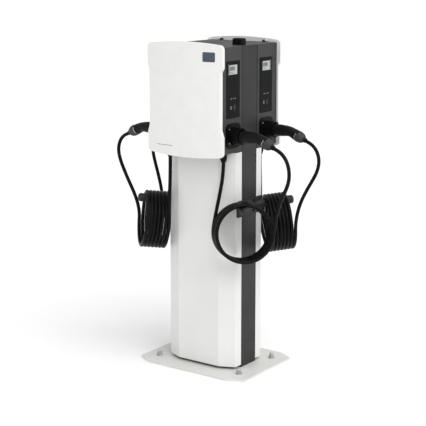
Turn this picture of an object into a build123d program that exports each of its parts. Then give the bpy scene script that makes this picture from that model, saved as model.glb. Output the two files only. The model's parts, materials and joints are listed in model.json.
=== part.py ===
from build123d import *
import math
import os

# An electric-car charging post: two chargers back to back on a steel post, with a socket cable
# coiled on a rod at each of its four corners.
# Millimetres. +Z is up, -Y is the front, and the origin is on the floor under the post's centre.

# ---- base plate and anchors ----
BASE_HALF_WIDTH = 288.5
BASE_SIDE_HALF_DEPTH = 183.0      # where the sloping corners leave the side edges
BASE_FRONT_HALF_WIDTH = 215.0     # where the sloping corners leave the front and rear edges
BASE_HALF_DEPTH = 223.0
BASE_THICKNESS = 8.0
BASE_CORNER_RADIUS = 10.0
BASE_BEND_RADIUS = 90.0
ANCHOR_X = 220.0
ANCHOR_Y = 133.0
ANCHOR_HOLE_RADIUS = 7.0
CABLE_ENTRY_RADIUS = 50.0
WASHER_RADIUS = 15.0
WASHER_THICKNESS = 2.5
NUT_ACROSS_FLATS = 21.0
NUT_HEIGHT = 10.0
NUT_DOME_RADIUS = 8.5
NUT_DOME_HEIGHT = 13.0
NUT_DOME_EDGE_RADIUS = 6.0
NUT_THREAD_RADIUS = 6.1
NUT_THREAD_DEPTH = 16.0

# ---- post ----
POST_HEIGHT = 1440.0
POST_WIDTH = 362.0
POST_DEPTH = 115.0
POST_WALL = 3.0
POST_CORNER_RADIUS = 2.5
CAP_THICKNESS = 3.0
CAP_SKIRT = 8.0
FIT_GAP = 0.5                     # loose gap around a piece that drops into another
SAME_LEVEL = 0.5                  # two heights on an outline nearer than this are one
ANTENNA_X = 125.0
ANTENNA_SIZE = (50.0, 40.0, 28.0)
ANTENNA_EDGE_RADIUS = 7.0

# ---- white column shells, front and rear ----
SHELL_BOTTOM = 20.0
SHELL_GAP_UNDER_CHARGER = 2.0
SHELL_FACE_Y = 132.0
SHELL_FACE_INSET = 72.0           # from the post's side to the edge of the shell's flat face
SHELL_SIDE_Y = 100.0
SHELL_CORNER_RADIUS = 8.0
SHELL_WALL = 2.5
TAB_LENGTH = 15.0
TAB_THICKNESS = 2.2
TAB_HALF_HEIGHT = 24.0
TAB_FROM_END = (100.0, 41.0)      # from the shell's lower and upper ends to the middle of its screw pairs
SHELL_SCREW_PITCH = 24.0
SHELL_SCREW_INSET = 7.5           # from the post's edge to the screw
SHELL_SCREW_RADIUS = 2.0
SHELL_SCREW_HEAD_RADIUS = 3.6
SHELL_SCREW_HEAD_TOP_RADIUS = 2.5
SHELL_SCREW_HEAD_HEIGHT = 1.8

# ---- cable hanger rods, one at each corner ----
ROD_ROOT_Y = 70.0
ROD_ROOT_Z = 733.0
ROD_RADIUS = 19.0
ROD_LENGTH = 163.0                # from the post's side to the tip
ROD_PLAN_ANGLE = 45.0
ROD_RISE_ANGLE = 6.0
ROD_TIP_RADIUS = 12.0
BRACKET_THICKNESS = 5.0
BRACKET_HALF_WIDTH = 97.0
BRACKET_HALF_HEIGHT = 36.0
BRACKET_CORNER_RADIUS = 10.0
BRACKET_SCREW_Y = 30.0
BRACKET_SCREW_Z = 22.0
BRACKET_SCREW_RADIUS = 4.0
BRACKET_SCREW_HEAD_RADIUS = 6.5
BRACKET_SCREW_HEAD_HEIGHT = 3.5
BRACKET_SCREW_EDGE_RADIUS = 1.75

# ---- charger bodies ----
CHARGER_HEIGHT = 455.0
CHARGER_DEPTH = 149.5
CHARGER_WALL = 3.5
CHARGER_CORNER_RADIUS = 4.0
MOUNTING_PLATE_THICKNESS = 3.0
MOUNTING_PLATE_INSET = 5.0
WIRE_HOLE_RADIUS = 16.0
WIRE_HOLE_ABOVE_BOTTOM = 55.0
GASKET_WIDTH = 6.0
GASKET_THICKNESS = 4.4
GASKET_GAP = 0.6                  # free gap to the closed cover

# ---- covers ----
COVER_OVERHANG_SIDE = 18.5
COVER_NOTCH_DEPTH = 10.5
COVER_NOTCH_RISES = (79.0, 109.0, 353.0, 370.0)   # above the charger's underside
COVER_OVERHANG_TOP = 9.0          # above the charger body, at the cover's corners
COVER_OVERHANG_BOTTOM = 6.0
COVER_ARCH = 11.5                 # rise of the top and bottom edges at the middle
COVER_EDGE_DEPTH = 14.0
COVER_BULGE = 16.0
COVER_WALL = 3.5
COVER_CORNER_RADIUS = 20.0
COVER_NOTCH_RADIUS = 12.0
COVER_EDGE_FILLET = 2.5
COVER_CAVITY_INSET = 8.0          # from the charger body's outside to the cover's hollow
HINGE_RISE = 6.0                  # from the charger's top to the hinge pins
HINGE_BEHIND_COVER = 4.0
HINGE_X = 115.0
HINGE_LUG_WIDTH = 14.0
HINGE_EAR_WIDTH = 10.0
HINGE_SIDE_GAP = 0.6
HINGE_KNUCKLE_RADIUS = 3.4
HINGE_PIN_RADIUS = 1.5
HINGE_RUNNING_CLEARANCE = 0.06
COVER_SCREW_X = 120.0
COVER_SCREW_OUT = 9.0             # in front of the cover's rear face
COVER_SCREW_RADIUS = 2.5
COVER_SCREW_HEAD_RADIUS = 4.5
COVER_SCREW_HEAD_HEIGHT = 3.0
COVER_SCREW_RECESS = 5.0
COVER_SCREW_TAB_GAP = 0.6
LATCH_TAB_THICKNESS = 5.0
LATCH_TAB_HALF_WIDTH = 12.0
LATCH_TAB_LIFT = 2.0              # above the hollow's lower edge
LATCH_TAB_END_GAP = 6.0

# ---- side displays ----
PANEL_Y = (79.0, 175.0)
PANEL_RISE = (153.0, 395.0)       # above the charger's underside
PANEL_STAND_OUT = 2.5
PANEL_RIM = 3.0
PANEL_INNER_DEPTH = 6.0
PANEL_CORNER_RADIUS = 3.0
WINDOW_Y = (96.0, 163.0)
WINDOW_RISE = (336.0, 383.0)
WINDOW_DEPTH = 1.6
WINDOW_STAND_OUT = 0.4

# ---- plug holsters ----
HOLSTER_Y = 129.0
HOLSTER_RISE = 77.0               # above the charger's underside
HOLSTER_FLANGE_WIDTH = 104.0
HOLSTER_FLANGE_HEIGHT = 106.0
HOLSTER_FLANGE_THICKNESS = 6.0
HOLSTER_FLANGE_RADIUS = 25.0
HOLSTER_CUP_RADIUS = 38.0
HOLSTER_MOUTH_RADIUS = 36.5
HOLSTER_CUP_LENGTH = 44.0
HOLSTER_FLOOR = 3.5
HOLSTER_SCREW_HALF_PITCH = 30.0
HOLSTER_SCREW_RADIUS = 2.0
HOLSTER_SCREW_HEAD_RADIUS = 3.9
HOLSTER_SCREW_HEAD_TOP_RADIUS = 3.1
HOLSTER_SCREW_HEAD_HEIGHT = 2.4

# ---- plugs ----
NOSE_RADIUS = 31.0
NOSE_FLAT_HEIGHT = 22.0
NOSE_CLEARANCE = 1.2
NOSE_FREE_END = 8.0               # from the nose's end to the holster's floor
NOSE_EDGE_RADIUS = 2.0
CONTACT_DEPTH = 24.0
CONTACT_CIRCLE_RADIUS = 17.0
POWER_CONTACT_RADIUS = 4.6
PILOT_CONTACT_RADIUS = 3.2
PILOT_CONTACT_RISE = 12.5
GRIP_GAP = 0.6                    # from the holster's mouth to the grip
GRIP_BEND_AT = 78.0
GRIP_BEND_ANGLE = 24.0
GRIP_LENGTH = 169.5
# each grip section: distance along the grip, half width, half height
GRIP_SECTIONS = ((0.0, 31.0, 26.5), (10.0, 30.5, 25.5), (45.0, 29.0, 25.0), (78.0, 25.5, 22.8),
                 (112.0, 24.5, 24.5), (135.0, 21.5, 22.0), (152.0, 15.5, 15.5), (169.5, 11.0, 11.0))

# ---- cables ----
CABLE_RADIUS = 8.1
BEND_SHARE = 0.45                 # of the shorter run beside a bend, taken up by the bend's arc
COIL_RADIUS = 122.0
COIL_TURNS = 6.5
COIL_PITCH = 16.4
COIL_START = 28.5                 # along the rod, to the first turn's middle
COIL_SHIFT = -4.0                 # sideways on the rod, away from the coil behind it
COIL_REST_GAP = 0.4
COIL_END_TRIM = 8.1               # the coil's first turn is this far inside its solid
TAIL_GAP = 0.4
GLAND_FROM_SIDE = 37.0            # from the charger's side to the gland's axis
GLAND_Y = 143.0
GLAND_THREAD_RADIUS = 12.5
GLAND_HEX_ACROSS_FLATS = 29.0
GLAND_HEX_HEIGHT = 7.0
GLAND_NUT_RADIUS = 15.0
GLAND_TIP_RADIUS = 11.0
GLAND_NUT_HEIGHT = 32.0
GLAND_THREAD_INSIDE = 12.0
LOCK_NUT_THICKNESS = 5.0
LOCK_NUT_ACROSS_FLATS = 32.0
THREAD_GAP = 0.15

# Free stretches of cable. Each route is for one corner, as distances to the side, to the front or
# rear, and up. The first list runs down from the gland, the second away from the plug's tail.
LEAD_IN_ROUTES = {
    "front_right": ((143.2, 143.6, 905), (139, 150, 848), (132, 163, 781), (124.5, 177, 712)),
    "front_left": ((144.5, 142.2, 905), (142, 147, 849), (134.8, 161, 783), (126, 175.5, 713)),
    "rear_right": ((143.6, 144, 904), (140.5, 151, 847), (133.5, 164.5, 781), (125, 178, 711)),
    "rear_left": ((144.3, 143.5, 905), (141, 149, 848), (133, 162, 780), (125.5, 176, 712)),
}
LEAD_OUT_ROUTES = {
    "front_right": ((426.5, 129.3, 1010), (454, 130.5, 981), (468, 131, 940.3), (465.6, 128, 894.4),
                    (444, 119.5, 850), (416, 109, 806), (394, 99, 760), (377, 92.5, 707)),
    "front_left": ((423, 129.3, 1011.5), (445, 130, 984.5), (454, 130.5, 944), (445.5, 127.5, 899),
                   (428.5, 121.5, 853), (411, 113, 806), (392, 102, 757.5), (375, 93, 706)),
    "rear_right": ((424, 129.3, 1011), (447.5, 130, 983.5), (458, 130.5, 943.5), (451.5, 127, 899.5),
                   (431, 119.5, 856), (407, 110, 810), (386, 99.5, 760), (372.5, 92, 706.5)),
    "rear_left": ((424.5, 129, 1010.6), (448.5, 129.5, 983), (460, 130, 943), (455, 127, 897.5),
                  (437.5, 120.5, 852.5), (414, 111, 806), (391, 100.5, 757.5), (374.5, 93, 705.5)),
}

# ---- inside each charger ----
RAIL_RISES = (165.0, 315.0)       # above the charger's underside
RAIL_HALF_LENGTH = 135.0
RAIL_WIDTH = 35.0
RAIL_INNER_WIDTH = 25.0
RAIL_HEIGHT = 7.5
RAIL_SHEET = 1.5
BREAKER_X = 50.0
BREAKER_SIZE = (36.0, 66.0, 85.0)
TOGGLE_WIDTH = 18.0
TOGGLE_GAP = 0.6
TOGGLE_PIVOT_DEPTH = 6.0          # behind the breaker's face
TOGGLE_HUB_RADIUS = 6.5
TOGGLE_LEVER_LENGTH = 17.0
TOGGLE_LEVER_THICKNESS = 5.0
TOGGLE_LEVER_WIDTH = 10.8
TOGGLE_REST_ANGLE = 40.0          # above level when switched on
METER_X = 105.0
METER_SIZE = (36.0, 62.0, 90.0)
METER_DISPLAY = (24.0, 12.0)
METER_DISPLAY_RISE = 22.5
CONTACTOR_X = 60.0
CONTACTOR_SIZE = (45.0, 51.0, 84.0)
CONTACTOR_MIDDLE_SIZE = (40.5, 68.0, 42.0)
TERMINAL_X = 112.0
TERMINAL_COUNT = 5
TERMINAL_SIZE = (6.2, 44.0, 50.0)
TERMINAL_GAP = 0.3
BOARD_THICKNESS = 1.6
BOARD_BEHIND_PANEL = 12.0
BOARD_Y = (84.0, 168.0)
BOARD_RISE = (161.0, 387.0)
CHIP_SIZE = (3.0, 16.0, 16.0)
CHIP_RISES = (200.0, 255.0, 315.0)
READER_SIZE = (1.2, 56.0, 40.0)
READER_RISE = 205.0
PILLAR_RADIUS = 2.5
PILLAR_INSET = 6.0

# ---- worked out from the sizes above ----
POST_SIDE = POST_WIDTH / 2
POST_FACE = POST_DEPTH / 2
CHARGER_BOTTOM = POST_HEIGHT - CHARGER_HEIGHT
CHARGER_BACK = POST_FACE + MOUNTING_PLATE_THICKNESS
SHELL_TOP = CHARGER_BOTTOM - SHELL_GAP_UNDER_CHARGER
TAB_HEIGHTS = (SHELL_BOTTOM + TAB_FROM_END[0], SHELL_TOP - TAB_FROM_END[1])
SHELL_FACE_HALF_WIDTH = POST_SIDE - SHELL_FACE_INSET
COVER_HALF_WIDTH = POST_SIDE + COVER_OVERHANG_SIDE
CHARGER_FRONT = CHARGER_BACK + CHARGER_DEPTH
CHARGER_INNER_BACK = CHARGER_BACK + CHARGER_WALL
COVER_REAR = CHARGER_FRONT + GASKET_THICKNESS + GASKET_GAP
COVER_EDGE = COVER_REAR + COVER_EDGE_DEPTH
COVER_FRONT = COVER_EDGE + COVER_BULGE
COVER_PLAN_RADIUS = (COVER_HALF_WIDTH ** 2 + COVER_BULGE ** 2) / (2 * COVER_BULGE)
COVER_TOP = POST_HEIGHT + COVER_OVERHANG_TOP
COVER_BOTTOM = CHARGER_BOTTOM - COVER_OVERHANG_BOTTOM
HINGE_Y = COVER_REAR - HINGE_BEHIND_COVER
HINGE_Z = POST_HEIGHT + HINGE_RISE
HOLSTER_MOUTH_X = POST_SIDE + HOLSTER_FLANGE_THICKNESS + HOLSTER_CUP_LENGTH
HOLSTER_BORE_RADIUS = NOSE_RADIUS + NOSE_CLEARANCE
HOLSTER_FLOOR_X = POST_SIDE + HOLSTER_FLANGE_THICKNESS + HOLSTER_FLOOR
NOSE_END_X = HOLSTER_FLOOR_X + NOSE_FREE_END
GRIP_START_X = HOLSTER_MOUTH_X + GRIP_GAP
GLAND_X = POST_SIDE - GLAND_FROM_SIDE
GLAND_TIP_Z = CHARGER_BOTTOM - GLAND_HEX_HEIGHT - GLAND_NUT_HEIGHT


def above_charger_bottom(rises):
    return [CHARGER_BOTTOM + rise for rise in rises]


COVER_NOTCH_HEIGHTS = above_charger_bottom(COVER_NOTCH_RISES)
PANEL_Z = above_charger_bottom(PANEL_RISE)
WINDOW_Z = above_charger_bottom(WINDOW_RISE)
HOLSTER_Z = CHARGER_BOTTOM + HOLSTER_RISE
RAIL_Z = above_charger_bottom(RAIL_RISES)
BOARD_Z = above_charger_bottom(BOARD_RISE)
CHIP_Z = above_charger_bottom(CHIP_RISES)
READER_Z = CHARGER_BOTTOM + READER_RISE

ROD_PLAN = math.radians(ROD_PLAN_ANGLE)
ROD_RISE = math.radians(ROD_RISE_ANGLE)
ROD_DIRECTION = Vector(math.cos(ROD_RISE) * math.cos(ROD_PLAN), math.cos(ROD_RISE) * math.sin(ROD_PLAN),
                       math.sin(ROD_RISE))
ROD_SIDEWAYS = Vector(math.sin(ROD_PLAN), -math.cos(ROD_PLAN), 0)
ROD_UP = ROD_SIDEWAYS.cross(ROD_DIRECTION)
ROD_ROOT = Vector(POST_SIDE, ROD_ROOT_Y, ROD_ROOT_Z)

CORNERS = {"front_right": (1, -1), "front_left": (-1, -1), "rear_right": (1, 1), "rear_left": (-1, 1)}
ENDS = {"front": -1, "rear": 1}


def slab(x_limits, y_limits, z_limits):
    """A plain block between the given limits."""
    lengths = [high - low for low, high in (x_limits, y_limits, z_limits)]
    return Pos(x_limits[0], y_limits[0], z_limits[0]) * Box(*lengths, align=(Align.MIN,) * 3)


def centred(middle, size):
    """A plain block about its middle."""
    return Pos(*middle) * Box(*size)


def rod_between(start, end, radius, end_radius=None):
    """A round bar from one point to another, tapered when a second radius is given."""
    start, end = Vector(*start), Vector(*end)
    length = (end - start).length
    plane = Plane(origin=start, z_dir=end - start)
    upright = (Align.CENTER, Align.CENTER, Align.MIN)
    if end_radius is None:
        return plane * Cylinder(radius, length, align=upright)
    return plane * Cone(radius, end_radius, length, align=upright)


def hexagon_bar(start, end, across_flats):
    """A six-sided bar from one point to another."""
    start, end = Vector(*start), Vector(*end)
    plane = Plane(origin=start, z_dir=end - start)
    outline = RegularPolygon(across_flats / 2, 6, major_radius=False)
    return extrude(plane * outline, (end - start).length)


def rounded_plate(plane, width, height, thickness, radius):
    """A plate with round corners, standing out along the plane's normal."""
    return extrude(plane * RectangleRounded(width, height, radius), thickness)


def at_corner(shape, corner):
    """A shape made at the right-hand rear corner, moved to the named one."""
    side, end = CORNERS[corner]
    if side < 0:
        shape = mirror(shape, about=Plane.YZ)
    if end < 0:
        shape = mirror(shape, about=Plane.XZ)
    return shape


def at_end(shape, end):
    """A shape made for the rear, moved to the front or left where it is."""
    return mirror(shape, about=Plane.XZ) if ENDS[end] < 0 else shape


def at_all_corners(shape):
    return [at_corner(shape, corner) for corner in CORNERS]


def group(pieces):
    """One node that holds several separate solids."""
    solids = [solid for piece in pieces for solid in piece.solids()]
    return Compound(children=solids) if len(solids) > 1 else solids[0]


def write(name, shape):
    export_step(shape, f"parts/{name}.step")


def facing_out(y):
    """A plane across the post at depth y, looking away from the post."""
    return Plane(origin=(0, y, 0), x_dir=(-1, 0, 0), z_dir=(0, 1, 0))


def facing_side(x, y=0, z=0):
    """A plane along the post's side, looking to +X, with its own x along +Y."""
    return Plane(origin=(x, y, z), x_dir=(0, 1, 0), z_dir=(1, 0, 0))


# ---- base ----
def make_base_plate():
    corner = (BASE_HALF_WIDTH, BASE_SIDE_HALF_DEPTH)
    slope = (BASE_FRONT_HALF_WIDTH, BASE_HALF_DEPTH)
    outline = [(sx * x, sy * y) for sx, sy, pair in ((1, 1, (corner, slope)), (-1, 1, (slope, corner)),
                                                     (-1, -1, (corner, slope)), (1, -1, (slope, corner)))
               for x, y in pair]
    sheet = make_face(Polyline(*outline, close=True))
    corners = [vertex for vertex in sheet.vertices() if abs(vertex.Y) <= BASE_SIDE_HALF_DEPTH]
    sheet = fillet(corners, BASE_CORNER_RADIUS)
    bends = [vertex for vertex in sheet.vertices() if abs(vertex.Y) > BASE_HALF_DEPTH - SAME_LEVEL]
    sheet = fillet(bends, BASE_BEND_RADIUS)
    sheet -= Circle(CABLE_ENTRY_RADIUS)
    sheet -= [Pos(sx * ANCHOR_X, sy * ANCHOR_Y) * Circle(ANCHOR_HOLE_RADIUS)
              for sx, sy in CORNERS.values()]
    return extrude(sheet, BASE_THICKNESS)


def make_anchor_washer():
    foot = (ANCHOR_X, ANCHOR_Y, BASE_THICKNESS)
    top = (ANCHOR_X, ANCHOR_Y, BASE_THICKNESS + WASHER_THICKNESS)
    return rod_between(foot, top, WASHER_RADIUS) - rod_between(foot, top, ANCHOR_HOLE_RADIUS)


def make_anchor_nut():
    """A domed nut: a hexagon with a closed round cap."""
    foot = BASE_THICKNESS + WASHER_THICKNESS
    shoulder = foot + NUT_HEIGHT
    centre = (ANCHOR_X, ANCHOR_Y)
    nut = hexagon_bar((*centre, foot), (*centre, shoulder), NUT_ACROSS_FLATS)
    dome = rod_between((*centre, shoulder), (*centre, shoulder + NUT_DOME_HEIGHT), NUT_DOME_RADIUS)
    dome = fillet(dome.edges().sort_by(Axis.Z)[-1], NUT_DOME_EDGE_RADIUS)
    return nut + dome - rod_between((*centre, foot), (*centre, foot + NUT_THREAD_DEPTH), NUT_THREAD_RADIUS)


# ---- post ----
def shell_tab_limits(height, gap=0.0):
    """The tongue of a shell that lies inside the post's side wall, grown by the gap."""
    inner = POST_SIDE - POST_WALL
    x_limits = (inner - TAB_THICKNESS - FIT_GAP - gap, inner - FIT_GAP + gap)
    y_limits = (POST_FACE - TAB_LENGTH - gap, POST_FACE + gap)
    z_limits = (height - TAB_HALF_HEIGHT - gap, height + TAB_HALF_HEIGHT + gap)
    return x_limits, y_limits, z_limits


def shell_screw_heights():
    return [middle + step * SHELL_SCREW_PITCH / 2 for middle in TAB_HEIGHTS for step in (-1, 1)]


def wire_holes(y_limits):
    height = CHARGER_BOTTOM + WIRE_HOLE_ABOVE_BOTTOM
    return rod_between((0, y_limits[0], height), (0, y_limits[1], height), WIRE_HOLE_RADIUS)


def make_post_frame():
    top = POST_HEIGHT - CAP_THICKNESS
    outer = slab((-POST_SIDE, POST_SIDE), (-POST_FACE, POST_FACE), (BASE_THICKNESS, top))
    outer = fillet(outer.edges().filter_by(Axis.Z), POST_CORNER_RADIUS)
    inner_x, inner_y = POST_SIDE - POST_WALL, POST_FACE - POST_WALL
    frame = outer - slab((-inner_x, inner_x), (-inner_y, inner_y), (BASE_THICKNESS, top))
    frame -= wire_holes((-POST_FACE, POST_FACE))
    cuts = [slab(*shell_tab_limits(height, FIT_GAP / 2)) for height in TAB_HEIGHTS]
    screw_y = POST_FACE - SHELL_SCREW_INSET
    cuts += [rod_between((inner_x, screw_y, height), (POST_SIDE, screw_y, height), SHELL_SCREW_RADIUS)
             for height in shell_screw_heights()]
    cuts += [rod_between((inner_x, y, z), (POST_SIDE, y, z), BRACKET_SCREW_RADIUS)
             for y, z in bracket_screw_places() if y > 0]
    for cut in cuts:
        frame -= at_all_corners(cut)
    return frame


def make_shell():
    """The white shell behind the post, open towards it, with tongues that reach inside the post."""
    half_outline = [(POST_SIDE, POST_FACE), (POST_SIDE, SHELL_SIDE_Y), (SHELL_FACE_HALF_WIDTH, SHELL_FACE_Y)]
    outline = half_outline + [(-x, y) for x, y in reversed(half_outline)]
    sheet = make_face(Polyline(*outline, close=True))
    bends = [vertex for vertex in sheet.vertices() if vertex.Y > POST_FACE + SHELL_WALL]
    sheet = fillet(bends, SHELL_CORNER_RADIUS)
    hollow = offset(sheet, -SHELL_WALL)
    mouth, mouth_end = POST_SIDE - SHELL_WALL, SHELL_SIDE_Y - SHELL_CORNER_RADIUS
    hollow += make_face(Polyline((-mouth, POST_FACE), (mouth, POST_FACE), (mouth, mouth_end),
                                 (-mouth, mouth_end), close=True))
    shell = Pos(0, 0, SHELL_BOTTOM) * extrude(sheet - hollow, SHELL_TOP - SHELL_BOTTOM)
    for middle in TAB_HEIGHTS:
        x_limits, y_limits, z_limits = shell_tab_limits(middle)
        foot = (POST_FACE, POST_FACE + TAB_THICKNESS)
        tongue = slab(x_limits, (y_limits[0], POST_FACE), z_limits)
        tongue += slab((x_limits[0], POST_SIDE - SHELL_WALL / 2), foot, z_limits)
        for z in shell_screw_heights():
            y = POST_FACE - SHELL_SCREW_INSET
            tongue -= rod_between((x_limits[0], y, z), (POST_SIDE, y, z), SHELL_SCREW_RADIUS)
        shell += [tongue, mirror(tongue, about=Plane.YZ)]
    return shell


def make_shell_screws():
    y = POST_FACE - SHELL_SCREW_INSET
    screws = []
    for z in shell_screw_heights():
        shank_end = POST_SIDE - POST_WALL - TAB_THICKNESS - FIT_GAP
        shank = rod_between((shank_end, y, z), (POST_SIDE, y, z), SHELL_SCREW_RADIUS)
        head = rod_between((POST_SIDE, y, z), (POST_SIDE + SHELL_SCREW_HEAD_HEIGHT, y, z),
                           SHELL_SCREW_HEAD_RADIUS, SHELL_SCREW_HEAD_TOP_RADIUS)
        screws += at_all_corners(shank + head)
    return group(screws)


def make_post_cap():
    top = POST_HEIGHT - CAP_THICKNESS
    plate = slab((-POST_SIDE, POST_SIDE), (-POST_FACE, POST_FACE), (top, POST_HEIGHT))
    plate = fillet(plate.edges().filter_by(Axis.Z), POST_CORNER_RADIUS)
    skirt_x, skirt_y = POST_SIDE - POST_WALL - FIT_GAP, POST_FACE - POST_WALL - FIT_GAP
    inner_x, inner_y = skirt_x - CAP_THICKNESS, skirt_y - CAP_THICKNESS
    skirt = slab((-skirt_x, skirt_x), (-skirt_y, skirt_y), (top - CAP_SKIRT, top))
    skirt -= slab((-inner_x, inner_x), (-inner_y, inner_y), (top - CAP_SKIRT, top))
    return plate + skirt


def make_antenna():
    length, width, height = ANTENNA_SIZE
    block = centred((ANTENNA_X, 0, POST_HEIGHT + height / 2), ANTENNA_SIZE)
    return fillet(block.edges().filter_by(Axis.Z) + block.edges().group_by(Axis.Z)[-1], ANTENNA_EDGE_RADIUS)


# ---- cable hangers ----
def make_hanger_bracket():
    """The flat bar on the post's right side that carries two rods."""
    plate = rounded_plate(facing_side(POST_SIDE, 0, ROD_ROOT_Z), 2 * BRACKET_HALF_WIDTH,
                          2 * BRACKET_HALF_HEIGHT, BRACKET_THICKNESS, BRACKET_CORNER_RADIUS)
    for y, z in bracket_screw_places():
        plate -= rod_between((POST_SIDE, y, z), (POST_SIDE + BRACKET_THICKNESS, y, z), BRACKET_SCREW_RADIUS)
    return plate


def bracket_screw_places():
    return [(sy * BRACKET_SCREW_Y, ROD_ROOT_Z + sz * BRACKET_SCREW_Z) for sy in (-1, 1) for sz in (-1, 1)]


def make_bracket_screws():
    outer = POST_SIDE + BRACKET_THICKNESS
    screws = []
    for y, z in bracket_screw_places():
        shank = rod_between((POST_SIDE - POST_WALL, y, z), (outer, y, z), BRACKET_SCREW_RADIUS)
        head = rod_between((outer, y, z), (outer + BRACKET_SCREW_HEAD_HEIGHT, y, z),
                           BRACKET_SCREW_HEAD_RADIUS)
        screw = shank + fillet(head.edges().sort_by(Axis.X)[-1], BRACKET_SCREW_EDGE_RADIUS)
        screws += [screw, mirror(screw, about=Plane.YZ)]
    return group(screws)


def make_hanger_rod():
    """A rod with a rounded tip, cut off where it is welded to its bracket."""
    along = ROD_DIRECTION * ROD_LENGTH
    bar = rod_between(ROD_ROOT - along / 2, ROD_ROOT + along, ROD_RADIUS)
    bar = fillet(bar.edges().sort_by(Axis.X)[-1], ROD_TIP_RADIUS)
    weld_face = POST_SIDE + BRACKET_THICKNESS
    return bar - slab((weld_face - 2 * ROD_LENGTH, weld_face), (-ROD_LENGTH, 2 * ROD_LENGTH),
                      (ROD_ROOT_Z - ROD_LENGTH, ROD_ROOT_Z + ROD_LENGTH))


# ---- chargers ----
def charger_slab(inset, y_limits):
    """The charger's outline, drawn in by the inset, between two depths."""
    side = POST_SIDE - inset
    return slab((-side, side), y_limits, (CHARGER_BOTTOM + inset, POST_HEIGHT - inset))


def make_mounting_plate():
    plate = charger_slab(MOUNTING_PLATE_INSET, (POST_FACE, CHARGER_BACK))
    return plate - wire_holes((POST_FACE, CHARGER_BACK))


def panel_block(depth_limits, inset):
    """The side display's outline, drawn in by the inset, between two places across the post."""
    y_limits = (PANEL_Y[0] + inset, PANEL_Y[1] - inset)
    z_limits = (PANEL_Z[0] + inset, PANEL_Z[1] - inset)
    return slab(depth_limits, y_limits, z_limits)


def holster_screw_places():
    step = HOLSTER_SCREW_HALF_PITCH
    return [(HOLSTER_Y + sy * step, HOLSTER_Z + sz * step) for sy in (-1, 1) for sz in (-1, 1)]


def knuckle(x_limits, radius):
    return rod_between((x_limits[0], HINGE_Y, HINGE_Z), (x_limits[1], HINGE_Y, HINGE_Z), radius)


def lug_limits():
    return HINGE_X - HINGE_LUG_WIDTH / 2, HINGE_X + HINGE_LUG_WIDTH / 2


def ear_limits():
    start = HINGE_X + HINGE_LUG_WIDTH / 2 + HINGE_SIDE_GAP
    return start, start + HINGE_EAR_WIDTH


def make_hinge_lug():
    lug = knuckle(lug_limits(), HINGE_KNUCKLE_RADIUS)
    y_limits = (HINGE_Y - HINGE_KNUCKLE_RADIUS, HINGE_Y + HINGE_KNUCKLE_RADIUS)
    lug += slab(lug_limits(), y_limits, (POST_HEIGHT, HINGE_Z))
    return lug - knuckle(lug_limits(), HINGE_PIN_RADIUS)


def latch_tab_height():
    """The underside of the tab that the cover's screw goes into."""
    return CHARGER_BOTTOM + COVER_CAVITY_INSET + LATCH_TAB_LIFT


def make_latch_tab():
    x_limits = (COVER_SCREW_X - LATCH_TAB_HALF_WIDTH, COVER_SCREW_X + LATCH_TAB_HALF_WIDTH)
    low = latch_tab_height()
    high = low + LATCH_TAB_THICKNESS
    screw_y = COVER_REAR + COVER_SCREW_OUT
    tab = slab(x_limits, (CHARGER_FRONT - CHARGER_WALL, screw_y + LATCH_TAB_END_GAP), (low, high))
    foot = (CHARGER_FRONT - CHARGER_WALL, CHARGER_FRONT)
    tab += slab(x_limits, foot, (CHARGER_BOTTOM + CHARGER_WALL, high))
    axis = (COVER_SCREW_X, screw_y)
    return tab - rod_between((*axis, low), (*axis, high), COVER_SCREW_RADIUS)


def make_housing():
    """The charger's box, behind the post, open where its cover goes."""
    box = charger_slab(0, (CHARGER_BACK, CHARGER_FRONT))
    box = fillet(box.edges().filter_by(Axis.Y), CHARGER_CORNER_RADIUS)
    box -= charger_slab(CHARGER_WALL, (CHARGER_INNER_BACK, CHARGER_FRONT))
    box -= wire_holes((CHARGER_BACK, CHARGER_INNER_BACK))
    inner = POST_SIDE - CHARGER_WALL
    side_cuts = [panel_block((inner, POST_SIDE), PANEL_RIM - FIT_GAP)]
    side_cuts += [rod_between((inner, y, z), (POST_SIDE, y, z), HOLSTER_SCREW_RADIUS)
                  for y, z in holster_screw_places()]
    side_cuts.append(rod_between(on_gland_axis(CHARGER_BOTTOM), on_gland_axis(CHARGER_BOTTOM + CHARGER_WALL),
                                 GLAND_THREAD_RADIUS + THREAD_GAP))
    for cut in side_cuts:
        box -= [cut, mirror(cut, about=Plane.YZ)]
    for piece in (make_hinge_lug(), make_latch_tab()):
        box += [piece, mirror(piece, about=Plane.YZ)]
    return box


def make_hinge_pins():
    pin = knuckle((lug_limits()[0] - HINGE_SIDE_GAP, ear_limits()[1] + HINGE_SIDE_GAP), HINGE_PIN_RADIUS)
    return group(at_all_corners(pin))


def make_gasket():
    y_limits = (CHARGER_FRONT, CHARGER_FRONT + GASKET_THICKNESS)
    ring = charger_slab(0, y_limits)
    ring = fillet(ring.edges().filter_by(Axis.Y), CHARGER_CORNER_RADIUS)
    return ring - charger_slab(GASKET_WIDTH, y_limits)


# ---- covers ----
def cover_right_edge():
    """The right-hand edge of the cover, from the top down, as x and height."""
    low, low_end, high_start, high = COVER_NOTCH_HEIGHTS
    narrow = COVER_HALF_WIDTH - COVER_NOTCH_DEPTH
    return [(COVER_HALF_WIDTH, COVER_TOP), (COVER_HALF_WIDTH, high), (narrow, high_start), (narrow, low_end),
            (COVER_HALF_WIDTH, low), (COVER_HALF_WIDTH, COVER_BOTTOM)]


def cover_lower_edge(x):
    """About how low the cover's arched lower edge is at x."""
    return COVER_BOTTOM - COVER_ARCH * (1 - (x / COVER_HALF_WIDTH) ** 2)


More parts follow.
